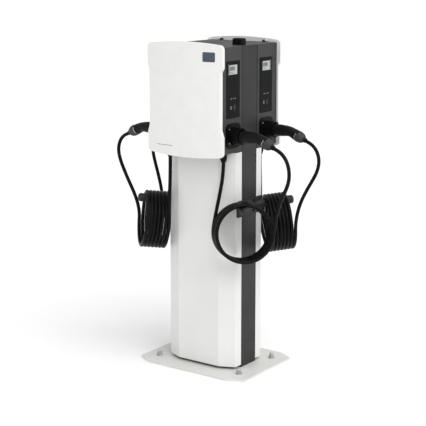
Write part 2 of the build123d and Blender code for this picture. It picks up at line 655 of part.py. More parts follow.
def cover_curve(set_back):
    """The upright drum whose face the cover's outside follows, drawn in by the set-back."""
    centre_y = COVER_FRONT - COVER_PLAN_RADIUS
    drum = Cylinder(COVER_PLAN_RADIUS - set_back, 2 * CHARGER_HEIGHT)
    return Pos(0, centre_y, CHARGER_BOTTOM + CHARGER_HEIGHT / 2) * drum


def is_cover_corner(vertex):
    """Whether a point of the flat outline is one of the cover's four corners."""
    return min(abs(vertex.Y - COVER_TOP), abs(vertex.Y - COVER_BOTTOM)) < SAME_LEVEL


def make_cover_block():
    """The cover before it is hollowed out."""
    right = cover_right_edge()
    left = [(-x, z) for x, z in reversed(right)]
    top = ThreePointArc(left[-1], (0, COVER_TOP + COVER_ARCH), right[0])
    bottom = ThreePointArc(right[-1], (0, COVER_BOTTOM - COVER_ARCH), left[0])
    sheet = make_face(Polyline(*right) + Polyline(*left) + top + bottom)
    sheet = fillet([vertex for vertex in sheet.vertices() if not is_cover_corner(vertex)], COVER_NOTCH_RADIUS)
    sheet = fillet([vertex for vertex in sheet.vertices() if is_cover_corner(vertex)], COVER_CORNER_RADIUS)
    block = extrude(facing_out(COVER_REAR) * sheet, COVER_EDGE_DEPTH + 2 * COVER_BULGE) & cover_curve(0)
    front = block.faces().sort_by(Axis.Y)[-1]
    return fillet(front.edges(), COVER_EDGE_FILLET)


def make_cover():
    cover = make_cover_block()
    hollow = charger_slab(COVER_CAVITY_INSET, (COVER_REAR, COVER_FRONT)) & cover_curve(COVER_WALL)
    hollow = fillet(hollow.edges().filter_by(Axis.Y), COVER_CAVITY_INSET)
    cover -= hollow
    ear = knuckle(ear_limits(), HINGE_KNUCKLE_RADIUS)
    z_limits = (HINGE_Z - HINGE_KNUCKLE_RADIUS, HINGE_Z + HINGE_KNUCKLE_RADIUS)
    ear += slab(ear_limits(), (HINGE_Y, COVER_REAR), z_limits)
    ear -= knuckle(ear_limits(), HINGE_PIN_RADIUS + HINGE_RUNNING_CLEARANCE)
    cover += [ear, mirror(ear, about=Plane.YZ)]
    for hole in cover_screw_parts(FIT_GAP / 2):
        cover -= [hole, mirror(hole, about=Plane.YZ)]
    return cover


def cover_screw_parts(gap=0.0):
    """The upright shank and head of a cover screw, or with a gap the hole and recess for it."""
    y = COVER_REAR + COVER_SCREW_OUT
    head_top = cover_lower_edge(COVER_SCREW_X) + COVER_SCREW_RECESS
    head_low = head_top - (COVER_SCREW_HEAD_HEIGHT if gap == 0 else 2 * COVER_SCREW_RECESS)
    shank_top = latch_tab_height() - COVER_SCREW_TAB_GAP
    axis = (COVER_SCREW_X, y)
    shank = rod_between((*axis, head_top), (*axis, shank_top), COVER_SCREW_RADIUS + gap)
    head = rod_between((*axis, head_low), (*axis, head_top), COVER_SCREW_HEAD_RADIUS + gap)
    return shank, head


def make_cover_screws():
    shank, head = cover_screw_parts()
    screw = shank + head
    return group([screw, mirror(screw, about=Plane.YZ)])


# ---- side displays ----
def make_display_panel():
    panel = panel_block((POST_SIDE, POST_SIDE + PANEL_STAND_OUT), 0)
    panel = fillet(panel.edges().filter_by(Axis.X), PANEL_CORNER_RADIUS)
    panel += panel_block((POST_SIDE - PANEL_INNER_DEPTH, POST_SIDE), PANEL_RIM)
    board_face = POST_SIDE - BOARD_BEHIND_PANEL
    for y in (BOARD_Y[0] + PILLAR_INSET, BOARD_Y[1] - PILLAR_INSET):
        for z in (BOARD_Z[0] + PILLAR_INSET, BOARD_Z[1] - PILLAR_INSET):
            panel += rod_between((board_face, y, z), (POST_SIDE - PANEL_INNER_DEPTH, y, z), PILLAR_RADIUS)
    return panel - make_window_block(POST_SIDE + PANEL_STAND_OUT)


def make_window_block(outer):
    inner = POST_SIDE + PANEL_STAND_OUT + WINDOW_STAND_OUT - WINDOW_DEPTH
    return slab((inner, outer), WINDOW_Y, WINDOW_Z)


def make_display_window():
    return make_window_block(POST_SIDE + PANEL_STAND_OUT + WINDOW_STAND_OUT)


# ---- holsters ----
def make_holster():
    flange_face = POST_SIDE + HOLSTER_FLANGE_THICKNESS
    holster = rounded_plate(facing_side(POST_SIDE, HOLSTER_Y, HOLSTER_Z), HOLSTER_FLANGE_WIDTH,
                            HOLSTER_FLANGE_HEIGHT, HOLSTER_FLANGE_THICKNESS, HOLSTER_FLANGE_RADIUS)
    axis = (HOLSTER_Y, HOLSTER_Z)
    holster += rod_between((flange_face, *axis), (HOLSTER_MOUTH_X, *axis),
                           HOLSTER_CUP_RADIUS, HOLSTER_MOUTH_RADIUS)
    holster -= rod_between((HOLSTER_FLOOR_X, *axis), (HOLSTER_MOUTH_X, *axis), HOLSTER_BORE_RADIUS)
    for y, z in holster_screw_places():
        holster -= rod_between((POST_SIDE, y, z), (flange_face, y, z), HOLSTER_SCREW_RADIUS)
    return holster


def make_holster_screws():
    flange_face = POST_SIDE + HOLSTER_FLANGE_THICKNESS
    screws = []
    for y, z in holster_screw_places():
        screw = rod_between((POST_SIDE - CHARGER_WALL, y, z), (flange_face, y, z), HOLSTER_SCREW_RADIUS)
        screw += rod_between((flange_face, y, z), (flange_face + HOLSTER_SCREW_HEAD_HEIGHT, y, z),
                             HOLSTER_SCREW_HEAD_RADIUS, HOLSTER_SCREW_HEAD_TOP_RADIUS)
        screws += at_all_corners(screw)
    return group(screws)


# ---- plugs ----
def grip_direction(distance):
    """The grip's heading: level up to the bend, then turned down."""
    if distance < GRIP_BEND_AT:
        turn = 0.0
    elif distance > GRIP_BEND_AT:
        turn = math.radians(GRIP_BEND_ANGLE)
    else:
        turn = math.radians(GRIP_BEND_ANGLE / 2)
    return Vector(math.cos(turn), 0, -math.sin(turn))


def grip_point(distance):
    """A point on the grip's centre line."""
    straight = min(distance, GRIP_BEND_AT)
    beyond = max(distance - GRIP_BEND_AT, 0.0)
    start = Vector(GRIP_START_X, HOLSTER_Y, HOLSTER_Z)
    return start + Vector(straight, 0, 0) + grip_direction(2 * GRIP_BEND_AT) * beyond


def make_grip():
    sections = []
    for distance, half_width, half_height in GRIP_SECTIONS:
        plane = Plane(origin=grip_point(distance), x_dir=(0, 1, 0), z_dir=grip_direction(distance))
        sections.append(plane * Ellipse(half_width, half_height))
    return loft(sections)


def contact_places():
    """The middles of the seven contacts and their radii, seen from the nose's end."""
    across = CONTACT_CIRCLE_RADIUS
    places = [(0.0, 0.0, POWER_CONTACT_RADIUS), (-across, 0.0, POWER_CONTACT_RADIUS),
              (across, 0.0, POWER_CONTACT_RADIUS)]
    low = -across * math.sin(math.pi / 3)
    places += [(side * across / 2, low, POWER_CONTACT_RADIUS) for side in (-1, 1)]
    return places + [(side * across / 2, PILOT_CONTACT_RISE, PILOT_CONTACT_RADIUS) for side in (-1, 1)]


def make_nose():
    axis = (HOLSTER_Y, HOLSTER_Z)
    nose = rod_between((NOSE_END_X, *axis), (GRIP_START_X, *axis), NOSE_RADIUS)
    nose = fillet(nose.edges().sort_by(Axis.X)[0], NOSE_EDGE_RADIUS)
    nose -= slab((NOSE_END_X, GRIP_START_X), (HOLSTER_Y - NOSE_RADIUS, HOLSTER_Y + NOSE_RADIUS),
                 (HOLSTER_Z + NOSE_FLAT_HEIGHT, HOLSTER_Z + NOSE_RADIUS))
    for across, up, radius in contact_places():
        y, z = HOLSTER_Y + across, HOLSTER_Z + up
        nose -= rod_between((NOSE_END_X, y, z), (NOSE_END_X + CONTACT_DEPTH, y, z), radius)
    return nose


# ---- cables ----
def coil_point(along, sideways):
    """A point level with the coil's centre, at a distance along the rod and sideways from the centre."""
    drop = COIL_RADIUS - CABLE_RADIUS - ROD_RADIUS - COIL_REST_GAP
    return ROD_ROOT + ROD_DIRECTION * along - ROD_UP * drop + ROD_SIDEWAYS * (COIL_SHIFT + sideways)


def coil_finish():
    return COIL_START + COIL_TURNS * COIL_PITCH


def make_coil():
    """The outer shape of the wound turns: a thick ring that hangs on the rod."""
    start = coil_point(COIL_START - CABLE_RADIUS + COIL_END_TRIM, 0)
    end = coil_point(coil_finish() + CABLE_RADIUS, 0)
    return (rod_between(start, end, COIL_RADIUS + CABLE_RADIUS)
            - rod_between(start, end, COIL_RADIUS - CABLE_RADIUS))


def make_tube(name, points):
    """A round cable along straight runs joined by tangent arcs. It prints its arcs and its length."""
    points = [Vector(*point) for point in points]
    runs = [after - before for before, after in zip(points, points[1:])]
    radii = []
    for run, next_run in zip(runs, runs[1:]):
        half_turn = math.radians(run.get_angle(next_run)) / 2
        radii.append(BEND_SHARE * min(run.length, next_run.length) / math.tan(half_turn))
    path = FilletPolyline(*points, radius=radii)
    tube = sweep(Plane(origin=path @ 0, z_dir=path % 0) * Circle(CABLE_RADIUS), path=path)
    ideal = math.pi * CABLE_RADIUS ** 2 * path.length
    print(f"{name}: arcs {[round(radius) for radius in radii]} mm, length {path.length:.0f} mm, "
          f"volume against section times length {tube.volume / ideal:.4f}")
    return tube


def make_lead_in(corner):
    """From the gland down to the coil's first turn, at the column's side."""
    start = on_gland_axis(GLAND_TIP_Z)
    end = coil_point(COIL_START, -COIL_RADIUS)
    return make_tube(f"{corner} lead in", [start, *LEAD_IN_ROUTES[corner], end])


def make_lead_out(corner):
    """From the plug's tail down to the coil's last turn, at its outer side."""
    start = grip_point(GRIP_LENGTH + TAIL_GAP)
    end = coil_point(coil_finish(), COIL_RADIUS)
    return make_tube(f"{corner} lead out", [start, *LEAD_OUT_ROUTES[corner], end])


def on_gland_axis(z):
    return GLAND_X, GLAND_Y, z


def make_gland():
    """A cable gland through the charger's floor: thread, hexagon and tapered clamping nut."""
    floor, thread_end = on_gland_axis(CHARGER_BOTTOM), on_gland_axis(CHARGER_BOTTOM + GLAND_THREAD_INSIDE)
    hex_low = on_gland_axis(CHARGER_BOTTOM - GLAND_HEX_HEIGHT)
    shoulder = on_gland_axis(CHARGER_BOTTOM - GLAND_HEX_HEIGHT - GLAND_NUT_HEIGHT / 2)
    tip = on_gland_axis(GLAND_TIP_Z)
    gland = hexagon_bar(hex_low, floor, GLAND_HEX_ACROSS_FLATS)
    gland += rod_between(floor, thread_end, GLAND_THREAD_RADIUS)
    gland += rod_between(shoulder, hex_low, GLAND_NUT_RADIUS)
    gland += rod_between(tip, shoulder, GLAND_TIP_RADIUS, GLAND_NUT_RADIUS)
    return gland - rod_between(tip, thread_end, CABLE_RADIUS)


def make_lock_nut():
    low = on_gland_axis(CHARGER_BOTTOM + CHARGER_WALL)
    high = on_gland_axis(CHARGER_BOTTOM + CHARGER_WALL + LOCK_NUT_THICKNESS)
    return hexagon_bar(low, high, LOCK_NUT_ACROSS_FLATS) - rod_between(low, high, GLAND_THREAD_RADIUS)


# ---- inside each charger ----
def make_rail(z):
    """A top-hat rail on the charger's back wall."""
    def strip(depth_limits, low, high):
        return slab((-RAIL_HALF_LENGTH, RAIL_HALF_LENGTH),
                    [CHARGER_INNER_BACK + depth for depth in depth_limits], (z + low, z + high))
    half, inner = RAIL_WIDTH / 2, RAIL_INNER_WIDTH / 2
    rail = strip((0, RAIL_SHEET), -inner, inner)
    rail += [strip((0, RAIL_HEIGHT), inner - RAIL_SHEET, inner),
             strip((0, RAIL_HEIGHT), -inner, RAIL_SHEET - inner)]
    lip = (RAIL_HEIGHT - RAIL_SHEET, RAIL_HEIGHT)
    return rail + [strip(lip, inner, half), strip(lip, -half, -inner)]


def on_rail(x, z, size):
    """A block of the given size clipped on the rail at height z."""
    width, depth, height = size
    return centred((x, CHARGER_INNER_BACK + RAIL_HEIGHT + depth / 2, z), (width, depth, height))


def toggle_pivot():
    depth = CHARGER_INNER_BACK + RAIL_HEIGHT + BREAKER_SIZE[1] - TOGGLE_PIVOT_DEPTH
    return BREAKER_X, depth, RAIL_Z[1]


def toggle_bar(radius, half_width):
    x, y, z = toggle_pivot()
    return rod_between((x - half_width, y, z), (x + half_width, y, z), radius)


def make_breaker():
    """A circuit breaker with a slot for its switch lever and a pin across the slot."""
    breaker = on_rail(BREAKER_X, RAIL_Z[1], BREAKER_SIZE)
    x, y, z = toggle_pivot()
    angle = math.radians(TOGGLE_REST_ANGLE)
    lever_reach = TOGGLE_PIVOT_DEPTH * math.tan(angle) + TOGGLE_LEVER_THICKNESS / math.cos(angle) / 2
    half_height = max(lever_reach, TOGGLE_HUB_RADIUS) + TOGGLE_GAP
    half_width = TOGGLE_WIDTH / 2 + TOGGLE_GAP
    back = y - TOGGLE_HUB_RADIUS - TOGGLE_GAP
    breaker -= slab((x - half_width, x + half_width), (back, y + TOGGLE_PIVOT_DEPTH),
                    (z - half_height, z + half_height))
    return breaker + toggle_bar(HINGE_PIN_RADIUS, half_width)


def make_toggle():
    """The breaker's lever, switched on, so that it points up and outwards."""
    x, y, z = toggle_pivot()
    lever = Box(TOGGLE_LEVER_LENGTH, TOGGLE_LEVER_WIDTH, TOGGLE_LEVER_THICKNESS)
    lever = Pos(TOGGLE_LEVER_LENGTH / 2, 0, 0) * lever
    angle = math.radians(TOGGLE_REST_ANGLE)
    plane = Plane(origin=(x, y, z), x_dir=(0, math.cos(angle), math.sin(angle)),
                  z_dir=(0, -math.sin(angle), math.cos(angle)))
    toggle = toggle_bar(TOGGLE_HUB_RADIUS, TOGGLE_WIDTH / 2) + plane * lever
    return toggle - toggle_bar(HINGE_PIN_RADIUS + HINGE_RUNNING_CLEARANCE, TOGGLE_WIDTH)


def make_meter():
    face = CHARGER_INNER_BACK + RAIL_HEIGHT + METER_SIZE[1]
    width, height = METER_DISPLAY
    display = centred((METER_X, face, RAIL_Z[1] + METER_DISPLAY_RISE), (width, BOARD_THICKNESS, height))
    return on_rail(METER_X, RAIL_Z[1], METER_SIZE) - display


def make_contactor():
    """A switching relay: a deep middle between two stepped-back rows of terminals."""
    return (on_rail(CONTACTOR_X, RAIL_Z[0], CONTACTOR_SIZE)
            + on_rail(CONTACTOR_X, RAIL_Z[0], CONTACTOR_MIDDLE_SIZE))


def make_terminals():
    width, depth, height = TERMINAL_SIZE
    pitch = width + TERMINAL_GAP
    first = TERMINAL_X - pitch * (TERMINAL_COUNT - 1) / 2
    return [on_rail(first + pitch * index, RAIL_Z[0], TERMINAL_SIZE) for index in range(TERMINAL_COUNT)]


def make_boards():
    """The controller board behind the side display, its chips, and the card reader's aerial."""
    outer = POST_SIDE - BOARD_BEHIND_PANEL
    board = slab((outer - BOARD_THICKNESS, outer), BOARD_Y, BOARD_Z)
    height, length, width = CHIP_SIZE
    middle_y = (BOARD_Y[0] + BOARD_Y[1]) / 2
    for z in CHIP_Z:
        board += centred((outer - BOARD_THICKNESS - height / 2, middle_y, z), (height, length, width))
    back = POST_SIDE - PANEL_INNER_DEPTH
    depth, length, width = READER_SIZE
    return [board, centred((back - depth / 2, middle_y, READER_Z), (depth, length, width))]


# ---- every piece, written to its own file ----
def every_corner(maker):
    return group(at_all_corners(maker()))


def both_ends(pieces):
    return group([at_end(piece, end) for piece in pieces for end in ENDS])


def both_sides(piece):
    return [piece, mirror(piece, about=Plane.YZ)]


def main():
    os.makedirs("parts", exist_ok=True)
    write("base_plate", make_base_plate())
    write("anchor_washers", every_corner(make_anchor_washer))
    write("anchor_nuts", every_corner(make_anchor_nut))
    write("post_frame", make_post_frame())
    write("post_cap", make_post_cap())
    write("antenna_housing", make_antenna())
    write("shell_screws", make_shell_screws())
    write("hanger_brackets", group(both_sides(make_hanger_bracket())))
    write("hanger_screws", make_bracket_screws())
    write("hanger_rods", every_corner(make_hanger_rod))
    write("mounting_plates", both_ends([make_mounting_plate()]))
    write("hinge_pins", make_hinge_pins())
    write("cover_gaskets", both_ends([make_gasket()]))
    write("display_panels", every_corner(make_display_panel))
    write("display_windows", every_corner(make_display_window))
    write("holster_screws", make_holster_screws())
    write("cable_glands", every_corner(make_gland))
    write("gland_lock_nuts", every_corner(make_lock_nut))
    write("din_rails", both_ends([make_rail(z) for z in RAIL_Z]))
    write("circuit_breakers", every_corner(make_breaker))
    write("contactors", every_corner(make_contactor))
    write("energy_meters", every_corner(make_meter))
    write("controller_boards", both_ends([side for board in make_boards() for side in both_sides(board)]))
    write("terminal_blocks", both_ends([side for slice_ in make_terminals() for side in both_sides(slice_)]))

    shell, housing, cover, cover_screws = make_shell(), make_housing(), make_cover(), make_cover_screws()
    for end in ENDS:
        write(f"column_{end}_shell", at_end(shell, end))
        write(f"{end}_charger_housing", at_end(housing, end))
        write(f"{end}_cover", at_end(cover, end))
        write(f"{end}_cover_screws", at_end(cover_screws, end))

    holster, nose, grip, coil, toggle = make_holster(), make_nose(), make_grip(), make_coil(), make_toggle()
    for corner in CORNERS:
        write(f"{corner}_holster", at_corner(holster, corner))
        write(f"{corner}_plug_nose", at_corner(nose, corner))
        write(f"{corner}_plug_grip", at_corner(grip, corner))
        write(f"{corner}_cable_coil", at_corner(coil, corner))
        write(f"{corner}_cable_lead_in", at_corner(make_lead_in(corner), corner))
        write(f"{corner}_cable_lead_out", at_corner(make_lead_out(corner), corner))
        write(f"{corner}_breaker_toggle", at_corner(toggle, corner))


main()
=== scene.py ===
import json
import math

import bpy
from mathutils import Matrix, Vector


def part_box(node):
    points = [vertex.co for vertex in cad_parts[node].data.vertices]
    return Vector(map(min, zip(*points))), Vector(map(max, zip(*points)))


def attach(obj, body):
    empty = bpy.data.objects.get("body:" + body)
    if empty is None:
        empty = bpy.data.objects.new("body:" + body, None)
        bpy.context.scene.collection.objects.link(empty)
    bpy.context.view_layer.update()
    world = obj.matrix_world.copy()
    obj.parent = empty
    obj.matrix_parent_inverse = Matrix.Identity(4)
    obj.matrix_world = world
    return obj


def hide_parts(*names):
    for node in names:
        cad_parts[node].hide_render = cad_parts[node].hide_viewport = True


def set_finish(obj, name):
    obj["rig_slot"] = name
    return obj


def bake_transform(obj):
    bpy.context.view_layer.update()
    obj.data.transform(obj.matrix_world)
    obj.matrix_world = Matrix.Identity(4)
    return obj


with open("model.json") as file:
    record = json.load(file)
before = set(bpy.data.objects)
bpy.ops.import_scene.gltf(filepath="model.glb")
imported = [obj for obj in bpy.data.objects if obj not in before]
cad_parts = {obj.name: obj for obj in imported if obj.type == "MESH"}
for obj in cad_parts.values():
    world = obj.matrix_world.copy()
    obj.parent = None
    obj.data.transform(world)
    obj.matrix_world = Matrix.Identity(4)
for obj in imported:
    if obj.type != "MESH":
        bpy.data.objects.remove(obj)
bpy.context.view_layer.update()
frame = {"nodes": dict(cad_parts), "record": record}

# The looks of a street charging post: cables, plugs, finished shells, small details and materials.
# Metres. +Z is up, -Y is the front. Everything that repeats at the four corners is made at the
# right-hand rear corner, where X and Y are both positive, and copied to the others.

CORNERS = {"front_right": (1, -1), "front_left": (-1, -1), "rear_right": (1, 1), "rear_left": (-1, 1)}
ENDS = {"front": -1, "rear": 1}
MM = 0.001


# ---- camera ----
CAMERA_PLACE_ANGLE = 35.4         # degrees round from the front towards the right
CAMERA_TURN = 35.52               # degrees, a hair past the post's centre line
CAMERA_TILT_DOWN = 10.43
CAMERA_DISTANCE = 5.2415
CAMERA_HEIGHT = 1.8011
CAMERA_LENS = 100.75              # millimetres on a sensor 36 mm wide
CAMERA_SHIFT_UP = -0.08


def deselect():
    bpy.ops.object.select_all(action="DESELECT")
    bpy.context.view_layer.objects.active = None


def add_camera():
    deselect()
    angle = math.radians(CAMERA_PLACE_ANGLE)
    place = (math.sin(angle) * CAMERA_DISTANCE, -math.cos(angle) * CAMERA_DISTANCE, CAMERA_HEIGHT)
    turned = (math.radians(90 - CAMERA_TILT_DOWN), 0, math.radians(CAMERA_TURN))
    bpy.ops.object.camera_add(location=place, rotation=turned)
    camera = bpy.context.object
    camera.data.sensor_width = 36
    camera.data.lens = CAMERA_LENS
    camera.data.shift_y = CAMERA_SHIFT_UP
    bpy.context.scene.camera = camera


add_camera()


# ---- charging cables ----
CABLE_RADIUS = 8.1 * MM
GLAND_TIP = (0.144, 0.143, 0.946)
PLUG_TAIL = (0.3936, 0.129, 1.0246)
PLUG_INSIDE = ((0.366, 0.129, 1.0369), (0.3388, 0.129, 1.049))   # the cable runs on inside the grip
ROD_ROOT = Vector((0.181, 0.070, 0.733))
ROD_RADIUS = 19 * MM
ROD_PLAN = math.radians(45)
ROD_RISE = math.radians(6)
COIL_RADIUS = 122 * MM
COIL_TURNS = 6.5
COIL_PITCH = 16.4 * MM
COIL_START = 28.5 * MM            # along the rod, to the first turn
COIL_SHIFT = -4 * MM              # sideways on the rod
COIL_REST_GAP = 0.4 * MM
POINTS_PER_TURN = 16
ROD_DIRECTION = Vector((math.cos(ROD_RISE) * math.cos(ROD_PLAN), math.cos(ROD_RISE) * math.sin(ROD_PLAN),
                        math.sin(ROD_RISE)))
ROD_SIDEWAYS = Vector((math.sin(ROD_PLAN), -math.cos(ROD_PLAN), 0))
ROD_UP = ROD_SIDEWAYS.cross(ROD_DIRECTION)

# Where each cable hangs free, as distances to the side, to the front or rear, and up. The first
# list runs down from the gland to the coil, the second from the plug's tail down to the coil.
LEAD_IN_ROUTES = {
    "front_right": ((0.1432, 0.1436, 0.905), (0.139, 0.150, 0.848), (0.132, 0.163, 0.781),
                    (0.1245, 0.177, 0.712)),
    "front_left": ((0.1445, 0.1422, 0.905), (0.142, 0.147, 0.849), (0.1348, 0.161, 0.783),
                   (0.126, 0.1755, 0.713)),
    "rear_right": ((0.1436, 0.144, 0.904), (0.1405, 0.151, 0.847), (0.1335, 0.1645, 0.781),
                   (0.125, 0.178, 0.711)),
    "rear_left": ((0.1443, 0.1435, 0.905), (0.141, 0.149, 0.848), (0.133, 0.162, 0.780),
                  (0.1255, 0.176, 0.712)),
}
LEAD_OUT_ROUTES = {
    "front_right": ((0.4265, 0.1293, 1.010), (0.454, 0.1305, 0.981), (0.468, 0.131, 0.9403),
                    (0.4656, 0.128, 0.8944), (0.444, 0.1195, 0.850), (0.416, 0.109, 0.806),
                    (0.394, 0.099, 0.760), (0.377, 0.0925, 0.707)),
    "front_left": ((0.423, 0.1293, 1.0115), (0.445, 0.130, 0.9845), (0.454, 0.1305, 0.944),
                   (0.4455, 0.1275, 0.899), (0.4285, 0.1215, 0.853), (0.411, 0.113, 0.806),
                   (0.392, 0.102, 0.7575), (0.375, 0.093, 0.706)),
    "rear_right": ((0.424, 0.1293, 1.011), (0.4475, 0.130, 0.9835), (0.458, 0.1305, 0.9435),
                   (0.4515, 0.127, 0.8995), (0.431, 0.1195, 0.856), (0.407, 0.110, 0.810),
                   (0.386, 0.0995, 0.760), (0.3725, 0.092, 0.7065)),
    "rear_left": ((0.4245, 0.129, 1.0106), (0.4485, 0.1295, 0.983), (0.460, 0.130, 0.943),
                  (0.455, 0.127, 0.8975), (0.4375, 0.1205, 0.8525), (0.414, 0.111, 0.806),
                  (0.391, 0.1005, 0.7575), (0.3745, 0.093, 0.7055)),
}


def coil_centre(along):
    """The middle of a turn that rests on the rod, a distance along from the rod's root."""
    drop = COIL_RADIUS - CABLE_RADIUS - ROD_RADIUS - COIL_REST_GAP
    return ROD_ROOT + ROD_DIRECTION * along - ROD_UP * drop + ROD_SIDEWAYS * COIL_SHIFT


def coil_points():
    """The turns' control points, from beside the column, down and round, to the turn at the tip."""
    reach = COIL_RADIUS / math.cos(math.pi / POINTS_PER_TURN)
    points = []
    for step in range(round(COIL_TURNS * POINTS_PER_TURN) + 1):
        turned = 2 * math.pi * step / POINTS_PER_TURN
        centre = coil_centre(COIL_START + COIL_PITCH * step / POINTS_PER_TURN)
        points.append(centre - (ROD_SIDEWAYS * math.cos(turned) + ROD_UP * math.sin(turned)) * reach)
    return points


def at_corner(point, corner):
    side, end = CORNERS[corner]
    return Vector((point[0] * side, point[1] * end, point[2]))


def cable_route(corner):
    """Every control point of one cable: gland, coil, free loop, plug."""
    points = [GLAND_TIP, *LEAD_IN_ROUTES[corner], *coil_points(), *reversed(LEAD_OUT_ROUTES[corner]),
              PLUG_TAIL, *PLUG_INSIDE]
    return [at_corner(point, corner) for point in points]


def add_cable(corner):
    """A smooth round tube along one corner's route, with the points that it follows."""
    points = cable_route(corner)
    curve = bpy.data.curves.new(f"{corner}_cable", "CURVE")
    curve.dimensions = "3D"
    curve.resolution_u = 4
    spline = curve.splines.new("NURBS")
    spline.points.add(len(points) - 1)
    for control, point in zip(spline.points, points):
        control.co = (*point, 1)
    spline.order_u = 3
    spline.use_endpoint_u = True
    cable = bpy.data.objects.new(f"{corner}_cable", curve)
    bpy.context.scene.collection.objects.link(cable)
    line = bpy.data.meshes.new_from_object(cable)
    path = [tuple(vertex.co) for vertex in line.vertices]
    curve.bevel_depth = CABLE_RADIUS
    curve.bevel_resolution = 3
    curve.use_fill_caps = True
    deselect()
    cable.select_set(True)
    bpy.context.view_layer.objects.active = cable
    bpy.ops.object.convert(target="MESH")
    bpy.ops.object.mode_set(mode="EDIT")
    bpy.ops.mesh.select_all(action="SELECT")
    bpy.ops.mesh.remove_doubles(threshold=CABLE_RADIUS / 100)
    bpy.ops.mesh.normals_make_consistent(inside=False)
    bpy.ops.object.mode_set(mode="OBJECT")
    bpy.ops.object.shade_smooth_by_angle(angle=math.radians(50))
    return bpy.context.object, path


cables = {corner: add_cable(corner) for corner in CORNERS}


# ---- materials ----
def linear(hex_colour):
    """An sRGB hex colour as the linear values that a shader takes."""
    parts = [int(hex_colour[start:start + 2], 16) / 255 for start in (0, 2, 4)]
    return (*[part / 12.92 if part <= 0.04045 else ((part + 0.055) / 1.055) ** 2.4 for part in parts], 1)


def per_metre(millimetres):
    """The scale of a pattern whose features are this far apart."""
    return 1 / (millimetres * MM)


def add_node(tree, kind, links=(), values=(), **settings):
    """One node with its settings, its inputs' values and the sockets that feed it."""
    node = tree.nodes.new(kind)
    for name, value in settings.items():
        setattr(node, name, value)
    for name, value in dict(values).items():
        node.inputs[name].default_value = value
    for name, socket in dict(links).items():
        tree.links.new(socket, node.inputs[name])
    return node


def new_material(name, colour, roughness, **shader_values):
    """A material's tree, shader and object coordinates, with its even values on the shader's sockets."""
    material = bpy.data.materials.new(name)
    material.use_nodes = True
    material.diffuse_color = linear(colour)
    tree = material.node_tree
    shader = tree.nodes["Principled BSDF"]
    shader.inputs["Base Color"].default_value = linear(colour)
    shader.inputs["Roughness"].default_value = roughness
    for socket, value in shader_values.items():
        shader.inputs[socket.replace("_", " ")].default_value = value
    place = add_node(tree, "ShaderNodeTexCoord").outputs["Object"]
    return material, tree, shader, place


def tint(tree, shader, mask, low_colour, high_colour, low=0.3, high=0.7):
    """Colours the surface between two near tones by a mask."""
    ramp = add_node(tree, "ShaderNodeValToRGB", {"Fac": mask})
    ramp.color_ramp.elements[0].position = low
    ramp.color_ramp.elements[1].position = high
    ramp.color_ramp.elements[0].color = linear(low_colour)
    ramp.color_ramp.elements[1].color = linear(high_colour)
    tree.links.new(ramp.outputs["Color"], shader.inputs["Base Color"])


def roughen(tree, shader, mask, low, high):
    """Varies the roughness between two values by a mask."""
    spread = add_node(tree, "ShaderNodeMapRange", {"Value": mask},
                      {"From Min": 0.3, "From Max": 0.7, "To Min": low, "To Max": high})
    tree.links.new(spread.outputs["Result"], shader.inputs["Roughness"])


def emboss(tree, shader, height, depth_mm, strength=1.0):
    """Raises the surface by a height pattern, up to a depth in millimetres."""
    bump = add_node(tree, "ShaderNodeBump", {"Height": height},
                    {"Strength": strength, "Distance": depth_mm * MM})
    tree.links.new(bump.outputs["Normal"], shader.inputs["Normal"])


def powder_coat(name, low_colour, high_colour, roughness, gloss=0.5):
    """Powder-coated steel: an even cured paint with a fine orange-peel skin that softens highlights."""
    material, tree, shader, place = new_material(name, high_colour, roughness, Specular_IOR_Level=gloss)
    # The skin's real grain is about 1 mm. It is drawn at 2.5 mm so that it shows.
    peel = add_node(tree, "ShaderNodeTexNoise", {"Vector": place}, {"Scale": per_metre(2.5), "Detail": 2})
    # Coating thickness and light soiling shift the tone over a hand's width.
    cloud = add_node(tree, "ShaderNodeTexNoise", {"Vector": place}, {"Scale": per_metre(160), "Detail": 4})
    tint(tree, shader, cloud.outputs["Fac"], low_colour, high_colour)
    roughen(tree, shader, cloud.outputs["Fac"], roughness + 0.05, roughness - 0.05)
    emboss(tree, shader, peel.outputs["Fac"], 0.08, 0.35)
    return material


def spark_textured(name, low_colour, high_colour, roughness, grain_mm=1.4, gloss=0.5):
    """Moulded plastic with a spark-eroded texture, which gives a dull, fine-grained sheen."""
    material, tree, shader, place = new_material(name, high_colour, roughness, IOR=1.5,
                                                 Specular_IOR_Level=gloss)
    grain = add_node(tree, "ShaderNodeTexNoise", {"Vector": place},
                     {"Scale": per_metre(grain_mm), "Detail": 3, "Roughness": 0.6})
    cloud = add_node(tree, "ShaderNodeTexNoise", {"Vector": place}, {"Scale": per_metre(90), "Detail": 3})
    tint(tree, shader, cloud.outputs["Fac"], low_colour, high_colour)
    roughen(tree, shader, grain.outputs["Fac"], roughness - 0.06, roughness + 0.06)
    emboss(tree, shader, grain.outputs["Fac"], 0.12, 0.4)
    return material


def moulded_gloss(name, low_colour, high_colour, roughness, gloss=0.5, coat=0.15):
    """Moulded polycarbonate: a smooth skin with a faint waviness and a clear, soft-edged gloss."""
    material, tree, shader, place = new_material(name, high_colour, roughness, IOR=1.58, Coat_Weight=coat,
                                                 Coat_Roughness=0.15, Specular_IOR_Level=gloss)
    wave = add_node(tree, "ShaderNodeTexNoise", {"Vector": place}, {"Scale": per_metre(45), "Detail": 1})
    dust = add_node(tree, "ShaderNodeTexNoise", {"Vector": place}, {"Scale": per_metre(6), "Detail": 5})
    tint(tree, shader, wave.outputs["Fac"], low_colour, high_colour)
    roughen(tree, shader, dust.outputs["Fac"], roughness - 0.04, roughness + 0.08)
    emboss(tree, shader, wave.outputs["Fac"], 0.04, 0.1)
    return material


